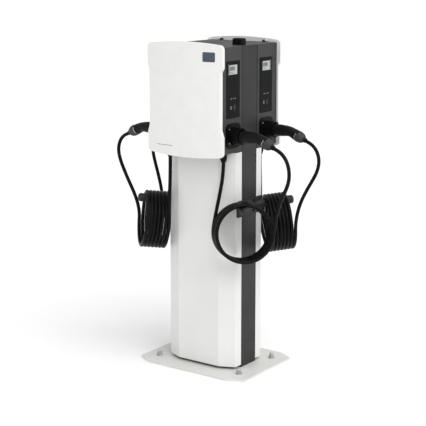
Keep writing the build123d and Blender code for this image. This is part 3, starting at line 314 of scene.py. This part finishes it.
def plated_steel(name, colour, dull_colour, roughness, streak_mm=0.6):
    """Zinc-plated steel: bright metal with fine drawn lines and faint cloudy patches of passivation."""
    material, tree, shader, place = new_material(name, colour, roughness, Metallic=1.0)
    # Drawn lines are long along the height and close together across.
    stretched = add_node(tree, "ShaderNodeMapping", {"Vector": place}, {"Scale": (1, 1, 0.08)})
    lines = add_node(tree, "ShaderNodeTexNoise", {"Vector": stretched.outputs["Vector"]},
                     {"Scale": per_metre(streak_mm), "Detail": 2})
    cloud = add_node(tree, "ShaderNodeTexNoise", {"Vector": place}, {"Scale": per_metre(12), "Detail": 4})
    tint(tree, shader, cloud.outputs["Fac"], dull_colour, colour)
    roughen(tree, shader, lines.outputs["Fac"], roughness - 0.08, roughness + 0.12)
    emboss(tree, shader, lines.outputs["Fac"], 0.03, 0.3)
    return material


def rubber(name, low_colour, high_colour, roughness, grain_mm):
    """Soft rubber: nearly black, with a dull bloom and a faint greasy sheen."""
    material, tree, shader, place = new_material(name, high_colour, roughness, IOR=1.52,
                                                 Specular_IOR_Level=0.15)
    bloom = add_node(tree, "ShaderNodeTexNoise", {"Vector": place}, {"Scale": per_metre(30), "Detail": 5})
    grain = add_node(tree, "ShaderNodeTexNoise", {"Vector": place},
                     {"Scale": per_metre(grain_mm), "Detail": 2})
    tint(tree, shader, bloom.outputs["Fac"], low_colour, high_colour)
    roughen(tree, shader, bloom.outputs["Fac"], roughness - 0.07, roughness + 0.07)
    emboss(tree, shader, grain.outputs["Fac"], 0.08, 0.35)
    return material


def circuit_board():
    """Solder-masked glass-epoxy board: satin green over a grid of copper tracks."""
    material, tree, shader, place = new_material("solder_masked_board", "14532D", 0.35, IOR=1.5)
    # The board stands across X, so its tracks are drawn in Y and Z, 2.54 mm apart.
    across = add_node(tree, "ShaderNodeMapping", {"Vector": place}, {"Rotation": (0, math.radians(90), 0)})
    tracks = add_node(tree, "ShaderNodeTexBrick", {"Vector": across.outputs["Vector"]},
                      {"Scale": per_metre(10.16), "Mortar Size": 0.05, "Color1": linear("14532D"),
                       "Color2": linear("185C33"), "Mortar": linear("4E8A55")})
    tree.links.new(tracks.outputs["Color"], shader.inputs["Base Color"])
    emboss(tree, shader, tracks.outputs["Fac"], 0.05, 0.4)
    return material


def display_glass():
    """A reflective grey liquid-crystal display under clear glass: pale, cool, with a fine cell grid."""
    material, tree, shader, place = new_material("liquid_crystal_display", "A9ADAA", 0.12, IOR=1.5,
                                                 Coat_Weight=0.6, Coat_Roughness=0.04)
    across = add_node(tree, "ShaderNodeMapping", {"Vector": place}, {"Rotation": (0, math.radians(90), 0)})
    # Cells are about 0.5 mm apart. They are drawn 1 mm apart so that they show.
    cells = add_node(tree, "ShaderNodeTexBrick", {"Vector": across.outputs["Vector"]},
                     {"Scale": per_metre(4), "Mortar Size": 0.03, "Color1": linear("A9ADAA"),
                      "Color2": linear("ADB1AE"), "Mortar": linear("9CA19E")}, offset=0)
    tree.links.new(cells.outputs["Color"], shader.inputs["Base Color"])
    return material


def cable_jacket():
    """Extruded polyurethane jacket: black, even, with a soft sheen and faint drag lines from the die."""
    material, tree, shader, place = new_material("polyurethane_cable_jacket", "0A0A0B", 0.42, IOR=1.5,
                                                 Specular_IOR_Level=0.12)
    drag = add_node(tree, "ShaderNodeTexNoise", {"Vector": place}, {"Scale": per_metre(9), "Detail": 6})
    skin = add_node(tree, "ShaderNodeTexNoise", {"Vector": place}, {"Scale": per_metre(1.6), "Detail": 2})
    tint(tree, shader, drag.outputs["Fac"], "060607", "0C0C0D")
    roughen(tree, shader, drag.outputs["Fac"], 0.34, 0.5)
    emboss(tree, shader, skin.outputs["Fac"], 0.06, 0.3)
    return material


def printed_ink(name, colour):
    """Screen-printed ink: a thin matt film, a little uneven where the mesh let it through."""
    material, tree, shader, place = new_material(name, colour, 0.6, Specular_IOR_Level=0.3)
    film = add_node(tree, "ShaderNodeTexNoise", {"Vector": place}, {"Scale": per_metre(2), "Detail": 3})
    roughen(tree, shader, film.outputs["Fac"], 0.52, 0.68)
    emboss(tree, shader, film.outputs["Fac"], 0.02, 0.3)
    return material


materials = {
    "base_steel": powder_coat("powder_coated_base_steel", "D3D3D0", "DADAD7", 0.5),
    "white_powder_coat": powder_coat("white_powder_coated_sheet", "DFDFDD", "E4E4E2", 0.42),
    "dark_powder_coat": powder_coat("graphite_powder_coated_steel", "262627", "2B2B2C", 0.5,
                                    gloss=0.3),
    "white_cover_plastic": moulded_gloss("white_polycarbonate", "E3E3E1", "E6E6E4", 0.3),
    "display_plastic": moulded_gloss("black_polycarbonate_panel", "0A0A0B", "0D0D0E", 0.25,
                                     gloss=0.05, coat=0),
    "dark_housing_plastic": spark_textured("graphite_polycarbonate_housing", "333334", "39393A", 0.52,
                                           gloss=0.3),
    "black_plastic": spark_textured("black_glass_filled_nylon", "060607", "0A0A0B", 0.45, gloss=0.1),
    "plug_nose_plastic": spark_textured("black_contact_carrier_nylon", "060607", "0A0A0B", 0.45, 1.0,
                                        gloss=0.1),
    "device_plastic": spark_textured("light_grey_device_nylon", "B4B4AF", "C2C2BD", 0.55),
    "terminal_plastic": spark_textured("beige_terminal_polyamide", "A09D92", "B2AFA4", 0.55, 1.0),
    "toggle_plastic": spark_textured("blue_toggle_nylon", "254F86", "2D5C99", 0.4, 1.0),
    "fixing_steel": plated_steel("zinc_plated_fixings", "C9CACB", "AEB0B1", 0.32),
    "rail_steel": plated_steel("zinc_plated_rail", "C4C7CC", "A5A9AF", 0.36, 0.8),
    "black_screws": plated_steel("black_oxide_screws", "1C1D1F", "141416", 0.4),
    "seal_rubber": rubber("foamed_seal_rubber", "0C0C0D", "141415", 0.75, 1.2),
    "grip_rubber": rubber("soft_grip_elastomer", "080809", "0E0E0F", 0.45, 1.0),
    "cable_rubber": cable_jacket(),
    "circuit_board": circuit_board(),
    "display_glass": display_glass(),
}
slot_of_node = {part["node"]: part["material_slot"] for part in frame["record"]["subparts"]}


def dress(piece, *slots):
    """Gives a piece the materials of these slots, and names the first as its finish."""
    piece.data.materials.clear()
    for slot in slots:
        piece.data.materials.append(materials[slot])
    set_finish(piece, slots[0])


for node_name, node in frame["nodes"].items():
    for place in range(len(node.material_slots)):
        node.material_slots[place].material = materials[slot_of_node[node_name]]


# ---- small modelling steps ----
def edit(piece):
    """Opens one piece for editing, with nothing in it selected."""
    deselect()
    piece.select_set(True)
    bpy.context.view_layer.objects.active = piece
    bpy.ops.object.mode_set(mode="EDIT")
    bpy.ops.mesh.select_mode(type="FACE")
    bpy.ops.mesh.select_all(action="DESELECT")
    bpy.ops.object.mode_set(mode="OBJECT")


def select_faces(piece, wanted):
    """Selects the faces of the open piece that a test accepts, and goes back to editing."""
    bpy.ops.object.mode_set(mode="OBJECT")
    for face in piece.data.polygons:
        face.select = wanted(face)
    bpy.ops.object.mode_set(mode="EDIT")


def settle(piece, name, smooth_degrees=35):
    """Closes a modelled piece: names it, puts its origin at the frame's and smooths its shading."""
    bpy.ops.object.mode_set(mode="OBJECT")
    deselect()
    piece.select_set(True)
    bpy.context.view_layer.objects.active = piece
    piece.name = name
    bpy.ops.object.transform_apply(location=True, rotation=True, scale=True)
    bpy.ops.object.mode_set(mode="EDIT")
    bpy.ops.mesh.select_all(action="SELECT")
    bpy.ops.mesh.normals_make_consistent(inside=False)
    bpy.ops.object.mode_set(mode="OBJECT")
    bpy.ops.object.shade_smooth_by_angle(angle=math.radians(smooth_degrees))
    return piece


def apply_modifier(piece, kind, **settings):
    """Adds one modifier and applies it."""
    deselect()
    piece.select_set(True)
    bpy.context.view_layer.objects.active = piece
    modifier = piece.modifiers.new(kind.lower(), kind)
    for name, value in settings.items():
        setattr(modifier, name, value)
    bpy.ops.object.modifier_apply(modifier=modifier.name)


def to_corner(piece, corner, middle_y, name):
    """A copy at another corner, turned half round for the left side and slid to its own end."""
    side, end = CORNERS[corner]
    twin = bpy.data.objects.new(name, piece.data.copy())
    bpy.context.scene.collection.objects.link(twin)
    turn = Matrix.Rotation(0 if side > 0 else math.pi, 4, "Z")
    slide = Matrix.Translation((0, (end - side) * middle_y, 0))
    twin.data.transform(slide @ turn)
    return twin


def at_every_corner(piece, middle_y, base_name, body="post"):
    """One copy for each corner, riding on a body. The piece that they are made from is removed."""
    twins = {}
    for corner in CORNERS:
        twins[corner] = to_corner(piece, corner, middle_y, f"{corner}_{base_name}")
        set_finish(twins[corner], piece["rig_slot"])
        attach(twins[corner], body.format(corner=corner))
    bpy.data.objects.remove(piece)
    return twins


# ---- plug grips ----
GRIP_START = Vector((0.2316, 0.129, 1.062))
GRIP_SIDES = 24
CAP, RUBBER, RING = 0, 1, 2          # places of the grip's three materials
# Each ring of the grip: distance along it, degrees turned down there, half width, half height, in
# millimetres, and the material of the skin that leads on from it.
GRIP_RINGS = (
    (0, 0, 30.2, 25.8, RUBBER), (1.5, 0, 31.2, 26.8, RUBBER), (8.5, 0, 31.2, 26.8, RUBBER),
    (9.3, 0, 30.0, 25.6, RUBBER), (10.9, 0, 30.0, 25.6, RUBBER), (11.7, 0, 31.0, 26.6, RUBBER),
    (26, 0, 30.4, 26.2, RUBBER), (44, 0, 28.8, 25.0, RUBBER), (62, 4, 26.4, 23.2, RUBBER),
    (70, 5, 25.2, 22.2, RUBBER), (78, 6, 24.4, 21.6, RUBBER), (86, 5, 24.0, 21.6, RUBBER),
    (94, 4, 24.2, 22.4, RUBBER), (106, 0, 24.8, 24.0, RUBBER), (112, 0, 24.8, 24.6, RUBBER),
    (113, 0, 23.8, 23.6, RUBBER), (114.6, 0, 23.9, 23.9, RING), (115, 0, 24.9, 24.9, RING),
    (116.4, 0, 24.9, 24.9, RING), (116.8, 0, 24.2, 24.2, CAP), (118.4, 0, 25.2, 25.4, CAP),
    (126, 0, 25.2, 25.6, CAP), (134, 0, 24.4, 24.8, CAP), (142, 0, 22.6, 22.9, CAP),
    (148, 0, 20.0, 20.2, CAP), (152, 0, 17.0, 17.1, CAP),
    (154.4, 0, 13.8, 13.9, RUBBER), (155.4, 0, 12.2, 12.2, RUBBER),
    (159, 0, 11.8, 11.8, RUBBER), (159.8, 0, 10.9, 10.9, RUBBER), (161.4, 0, 10.9, 10.9, RUBBER),
    (162.2, 0, 11.4, 11.4, RUBBER), (165.4, 0, 11.1, 11.1, RUBBER), (166.4, 0, 9.2, 9.2, RUBBER),
)
PAD_BORDER = 1.2 * MM             # left level round a pad
PAD_SLOPE = 0.8 * MM              # the width of its sloping edge
PAD_STEP = 0.9 * MM               # how far it stands out or is let in
PAD_RIM = 0.6 * MM                # level inside the edge, which keeps it crisp
# The raised thumb pad and the dark recess on top of the grip: from and to along X, the least upward
# share of a face's normal there, and whether it stands out or is let in.
TOP_PADS = ((0.256, 0.326, 0.86, 1), (0.343, 0.364, 0.55, -1))


def make_grip():
    """A plug's hand grip, grown ring by ring: collar, body, bright clip ring, end cap and sleeve."""
    deselect()
    bpy.ops.mesh.primitive_circle_add(vertices=GRIP_SIDES, radius=MM, fill_type="NGON", location=GRIP_START,
                                      rotation=(0, math.radians(90), 0))
    grip = bpy.context.object
    for slot in ("dark_housing_plastic", "grip_rubber", "fixing_steel"):
        grip.data.materials.append(materials[slot])
    bpy.ops.object.mode_set(mode="EDIT")
    bpy.ops.mesh.select_all(action="SELECT")
    centre, turned = GRIP_START.copy(), 0.0
    distance, _, width, height, finish = GRIP_RINGS[0]
    stations = [(centre.copy(), Vector((1, 0, 0)), finish)]
    bpy.ops.transform.resize(value=(1, width, height), center_override=centre)
    for next_distance, turn, next_width, next_height, next_finish in GRIP_RINGS[1:]:
        heading = Vector((math.cos(turned), 0, -math.sin(turned)))
        step = heading * (next_distance - distance) * MM
        bpy.ops.mesh.extrude_region_move(TRANSFORM_OT_translate={"value": step})
        centre += step
        tall = next_height / height
        bpy.ops.transform.resize(value=(tall, next_width / width, tall), center_override=centre)
        if turn:
            turned += math.radians(turn)
            bpy.ops.transform.rotate(value=-math.radians(turn), orient_axis="Y", center_override=centre)
        stations.append((centre.copy(), Vector((math.cos(turned), 0, -math.sin(turned))), next_finish))
        distance, width, height = next_distance, next_width, next_height
    bpy.ops.object.mode_set(mode="OBJECT")
    for face in grip.data.polygons:       # each face takes the finish of the last ring before it
        middle = grip.matrix_world @ face.center
        behind = [finish for place, heading, finish in stations if (middle - place).dot(heading) > -MM / 100]
        face.material_index = behind[-1]
    for low_x, high_x, least_up, outward in TOP_PADS:
        select_faces(grip, lambda face: (low_x < (grip.matrix_world @ face.center).x < high_x
                                         and (grip.matrix_world.to_3x3() @ face.normal).z > least_up))
        bpy.ops.mesh.inset(thickness=PAD_BORDER)
        grip.active_material_index = RUBBER
        bpy.ops.object.material_slot_assign()
        bpy.ops.mesh.inset(thickness=PAD_SLOPE, depth=PAD_STEP * outward)
        bpy.ops.mesh.inset(thickness=PAD_RIM)
    settle(grip, "plug_grip")
    apply_modifier(grip, "SUBSURF", levels=1, render_levels=1)
    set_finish(grip, "grip_rubber")
    return grip


grips = at_every_corner(make_grip(), GRIP_START.y, "plug_handle", "{corner}_plug")


# ---- finished copies of the plain parts ----
body_of_node = {node: body for body, nodes in frame["record"]["behaviour"]["bodies"].items()
                for node in nodes}


def finish_node(name, smooth_degrees=30, edge_mm=0.0):
    """A clean copy of a plain part: joined faces, softened edges, smooth curves."""
    source = frame["nodes"][name]
    piece = bpy.data.objects.new(f"{name}_finished", source.data.copy())
    bpy.context.scene.collection.objects.link(piece)
    edit(piece)
    bpy.ops.object.mode_set(mode="EDIT")
    bpy.ops.mesh.select_all(action="SELECT")
    bpy.ops.mesh.customdata_custom_splitnormals_clear()
    bpy.ops.mesh.remove_doubles(threshold=0.002 * MM)
    if edge_mm:
        bpy.ops.mesh.dissolve_limited(angle_limit=math.radians(0.5), delimit={"MATERIAL"})
    bpy.ops.object.mode_set(mode="OBJECT")
    if edge_mm:
        apply_modifier(piece, "BEVEL", width=edge_mm * MM, segments=2, limit_method="ANGLE",
                       angle_limit=math.radians(35), use_clamp_overlap=True)
    bpy.ops.object.shade_smooth_by_angle(angle=math.radians(smooth_degrees))
    if edge_mm:
        apply_modifier(piece, "WEIGHTED_NORMAL", keep_sharp=True)     # flat faces stay flat in the light
    dress(piece, slot_of_node[name])
    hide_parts(name)
    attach(piece, body_of_node[name])
    return piece


CURVED_NODES = ["front_cover", "rear_cover", "hanger_rods", "cable_glands", "anchor_nuts", "anchor_washers",
                "antenna_housing", "hinge_pins", "holster_screws", "hanger_screws", "shell_screws",
                "display_panels"]
CURVED_NODES += [f"{corner}_{part}" for corner in CORNERS
                 for part in ("holster", "plug_nose", "breaker_toggle")]
EDGED_NODES = {"base_plate": 1.2, "post_cap": 0.8, "hanger_brackets": 1.0,
               "column_front_shell": 0.6, "column_rear_shell": 0.6}     # millimetres of rounding
finished = {name: finish_node(name) for name in CURVED_NODES}
finished.update({name: finish_node(name, edge_mm=edge) for name, edge in EDGED_NODES.items()})


# ---- marks on the side panels and the front cover ----
PANEL_MIDDLE_Y = 0.127
PANEL_FACE_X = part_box("display_panels")[1][0]
WINDOW_FACE_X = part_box("display_windows")[1][0]
GLASS_WIDTH = 67                  # in millimetres, as are the four widths of its border
BEZEL_TOP, BEZEL_BOTTOM = 4, 2.5
BEZEL_NEAR, BEZEL_FAR = 3, 6
# Across from the panel's middle, up from the top of the glass, width and height, in millimetres.
READING_MARKS = ((-9, -19, 38, 17), (-16, -34, 22, 2.4), (-9, -39.5, 36, 1.6))
STATUS_MARKS = ((-15, 10), (0, 5), (14, 9))       # across from the middle, and width, in millimetres
STATUS_MARK_HEIGHT = 5
CARD_MARK = (-18, 9, 15)          # across from the middle, width and height, in millimetres
WAVE_ROOT = -4                    # the arcs' centre, across from the middle, in millimetres
WAVE_RADII = (7, 12.5, 18)
WAVE_STROKE = 1.6
WAVE_STEPS = 8
WAVE_HALF_SWEEP = math.radians(45)
# How round a mark's corners are, as a share of its shorter side.
ROUND_CORNER, CARD_CORNER, SQUARE_CORNER, STRIP_CORNER = 0.3, 0.2, 0.1, 0.05
CORNER_SEGMENTS = 4
MARK_SINK = 0.1 * MM
MARK_RISE = 0.3 * MM
STATUS_MARKS_Z = 1.221
CARD_MARKS_Z = 1.183
COVER_FACE_Y = -0.245             # the cover's foremost line, at its middle
COVER_BULGE_RADIUS = 1.2518       # how gently the cover is bowed from side to side
BADGE_PLACE = (0.134, 1.401)
BADGE_SIZE = (0.060, 0.041)
BADGE_CORNER = 5 * MM
NAME_LINE_PLACE = (-0.099, 1.013)
NAME_LINE_SIZE = (0.090, 0.0025)
NAME_LINE_CORNER = 1.1 * MM
BOW_LEVELS = 3                    # how finely a mark is divided, so that it can follow the bow


def raise_outline(corner_radius, step):
    """Rounds the corners of the open flat piece and grows it along a step into a thin solid."""
    bpy.ops.object.mode_set(mode="EDIT")
    bpy.ops.mesh.select_all(action="SELECT")
    bpy.ops.mesh.bevel(offset=corner_radius, segments=CORNER_SEGMENTS, affect="VERTICES")
    bpy.ops.mesh.select_all(action="SELECT")
    bpy.ops.mesh.extrude_region_move(TRANSFORM_OT_translate={"value": step})
    bpy.ops.object.mode_set(mode="OBJECT")


def add_side_mark(face_x, across, up, wide, high, corner_share=ROUND_CORNER):
    """A thin rounded mark on a face that looks along +X, by its middle across and up."""
    deselect()
    bpy.ops.mesh.primitive_plane_add(size=1, location=(face_x - MARK_SINK, across, up),
                                     rotation=(math.radians(90), 0, math.radians(90)))
    mark = bpy.context.object
    mark.scale = (wide * MM, high * MM, 1)
    bpy.ops.object.transform_apply(location=True, rotation=True, scale=True)
    raise_outline(min(wide, high) * corner_share * MM, (MARK_RISE, 0, 0))
    return mark


def add_wave_mark(face_x, across, up, radius):
    """One arc of the sign for a card held near: a small square section spun about the sign's root."""
    reach = radius * MM
    mark = add_side_mark(face_x, across + reach * math.cos(WAVE_HALF_SWEEP),
                         up - reach * math.sin(WAVE_HALF_SWEEP), WAVE_STROKE, WAVE_STROKE, SQUARE_CORNER)
    bpy.ops.object.mode_set(mode="EDIT")
    bpy.ops.mesh.select_all(action="SELECT")
    bpy.ops.mesh.spin(steps=WAVE_STEPS, angle=-2 * WAVE_HALF_SWEEP, center=(face_x, across, up),
                      axis=(1, 0, 0))
    bpy.ops.mesh.select_all(action="SELECT")
    bpy.ops.mesh.remove_doubles(threshold=MARK_SINK / 10)
    bpy.ops.object.mode_set(mode="OBJECT")
    return mark


def join_marks(marks, name, slot):
    """Makes one piece of several marks and gives it a finish."""
    deselect()
    for mark in marks:
        mark.select_set(True)
    bpy.context.view_layer.objects.active = marks[0]
    bpy.ops.object.join()
    piece = settle(marks[0], name)
    dress(piece, slot)
    return piece


def make_display_bezel():
    """The black border that the glass has round its clear part."""
    low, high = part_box("display_windows")[0][2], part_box("display_windows")[1][2]
    middle, middle_z, tall = PANEL_MIDDLE_Y, (low + high) / 2, (high - low) / MM
    edge, top, bottom = GLASS_WIDTH / 2 * MM, BEZEL_TOP, BEZEL_BOTTOM
    strips = [(middle, high - top / 2 * MM, GLASS_WIDTH, top),
              (middle, low + bottom / 2 * MM, GLASS_WIDTH, bottom),
              (middle - edge + BEZEL_NEAR / 2 * MM, middle_z, BEZEL_NEAR, tall),
              (middle + edge - BEZEL_FAR / 2 * MM, middle_z, BEZEL_FAR, tall)]
    return join_marks([add_side_mark(WINDOW_FACE_X, *strip, STRIP_CORNER) for strip in strips],
                      "display_bezel", "display_plastic")


def make_display_reading():
    """What the display shows: a filled block with two short lines under it, and no letters."""
    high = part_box("display_windows")[1][2]
    block, *lines = READING_MARKS
    across, up, wide, tall = block
    marks = [add_side_mark(WINDOW_FACE_X, PANEL_MIDDLE_Y + across * MM, high + up * MM, wide, tall,
                           SQUARE_CORNER)]
    marks += [add_side_mark(WINDOW_FACE_X, PANEL_MIDDLE_Y + across * MM, high + up * MM, wide, tall)
              for across, up, wide, tall in lines]
    return join_marks(marks, "display_reading", "device_plastic")


def make_panel_marks():
    """Generic signs on the panel: a row of status marks, and a card held near a reader."""
    middle = PANEL_MIDDLE_Y
    marks = [add_side_mark(PANEL_FACE_X, middle + shift * MM, STATUS_MARKS_Z, wide, STATUS_MARK_HEIGHT)
             for shift, wide in STATUS_MARKS]
    shift, wide, tall = CARD_MARK
    marks.append(add_side_mark(PANEL_FACE_X, middle + shift * MM, CARD_MARKS_Z, wide, tall, CARD_CORNER))
    marks += [add_wave_mark(PANEL_FACE_X, middle + WAVE_ROOT * MM, CARD_MARKS_Z, radius)
              for radius in WAVE_RADII]
    return join_marks(marks, "panel_marks", "device_plastic")


def add_front_mark(place, size, corner_radius, name, material):
    """A thin rounded mark that follows the bow of the front cover."""
    deselect()
    bpy.ops.mesh.primitive_plane_add(size=1, location=(place[0], COVER_FACE_Y + MARK_SINK, place[1]),
                                     rotation=(math.radians(90), 0, 0))
    mark = bpy.context.object
    mark.scale = (*size, 1)
    bpy.ops.object.transform_apply(location=True, rotation=True, scale=True)
    raise_outline(corner_radius, (0, -MARK_RISE, 0))
    apply_modifier(mark, "SUBSURF", subdivision_type="SIMPLE", levels=BOW_LEVELS, render_levels=BOW_LEVELS)
    settle(mark, name)
    for vertex in mark.data.vertices:
        vertex.co.y += COVER_BULGE_RADIUS - math.sqrt(COVER_BULGE_RADIUS ** 2 - vertex.co.x ** 2)
    mark.data.materials.append(material)
    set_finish(mark, "device_plastic")
    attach(mark, "front_cover_door")


at_every_corner(make_display_bezel(), PANEL_MIDDLE_Y, "display_bezel")
display_readings = at_every_corner(make_display_reading(), PANEL_MIDDLE_Y, "display_reading")
for reading in display_readings.values():
    reading.data.materials[0] = printed_ink("grey_display_segments", "6E716F")
panel_marks = at_every_corner(make_panel_marks(), PANEL_MIDDLE_Y, "panel_marks")
for signs in panel_marks.values():
    signs.data.materials[0] = printed_ink("grey_screen_print", "6A6B6C")
add_front_mark(BADGE_PLACE, BADGE_SIZE, BADGE_CORNER, "plain_badge",
               printed_ink("slate_enamel_badge", "47505A"))
add_front_mark(NAME_LINE_PLACE, NAME_LINE_SIZE, NAME_LINE_CORNER, "plain_line",
               printed_ink("grey_pad_print", "8A8A89"))


# ---- the cables take their finish, and the plain cable and grip parts are hidden ----
for corner, (cable, path) in cables.items():
    side, end = CORNERS[corner]
    dress(cable, "cable_rubber")
    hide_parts(*[f"{corner}_cable_{part}" for part in ("lead_in", "coil", "lead_out")])
    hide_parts(f"{corner}_plug_grip")
    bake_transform(cable)


# ---- floor and light ----
FLOOR_SIZE = 400
FLOOR_DROP = 0.0005               # below the base, so that the two faces don't flicker


def add_floor():
    """A wide pale floor. It isn't part of the charging post."""
    deselect()
    bpy.ops.mesh.primitive_plane_add(size=1, location=(0, 0, -FLOOR_DROP))
    floor = bpy.context.object
    floor.name = "floor"
    floor.scale = (FLOOR_SIZE, FLOOR_SIZE, 1)
    bpy.ops.object.transform_apply(location=False, rotation=False, scale=True)
    material, tree, shader, place = new_material("pale_floor", "FBFBFB", 0.9)
    speck = add_node(tree, "ShaderNodeTexNoise", {"Vector": place}, {"Scale": per_metre(400), "Detail": 3})
    tint(tree, shader, speck.outputs["Fac"], "FAFAFA", "FCFCFC")
    floor.data.materials.append(material)


SUN_FROM = Vector((0.645, -0.24, 0.725))      # the direction that the light comes from
SUN_DISTANCE = 5
SUN_STRENGTH = 1.75
SUN_SPREAD = math.radians(60)
SKY_STRENGTH = 0.74


def add_studio():
    """An even white surround, and one very broad soft light from the front right."""
    world = bpy.data.worlds.new("studio")
    bpy.context.scene.world = world
    world.use_nodes = True
    background = world.node_tree.nodes["Background"]
    background.inputs["Color"].default_value = (1, 1, 1, 1)
    background.inputs["Strength"].default_value = SKY_STRENGTH
    deselect()
    facing = SUN_FROM.to_track_quat("Z", "Y").to_euler()
    bpy.ops.object.light_add(type="SUN", location=SUN_FROM * SUN_DISTANCE, rotation=facing)
    sun = bpy.context.object
    sun.name = "broad_light"
    sun.data.energy = SUN_STRENGTH
    sun.data.angle = SUN_SPREAD
    bpy.context.scene.view_settings.view_transform = "Standard"


add_floor()
add_studio()
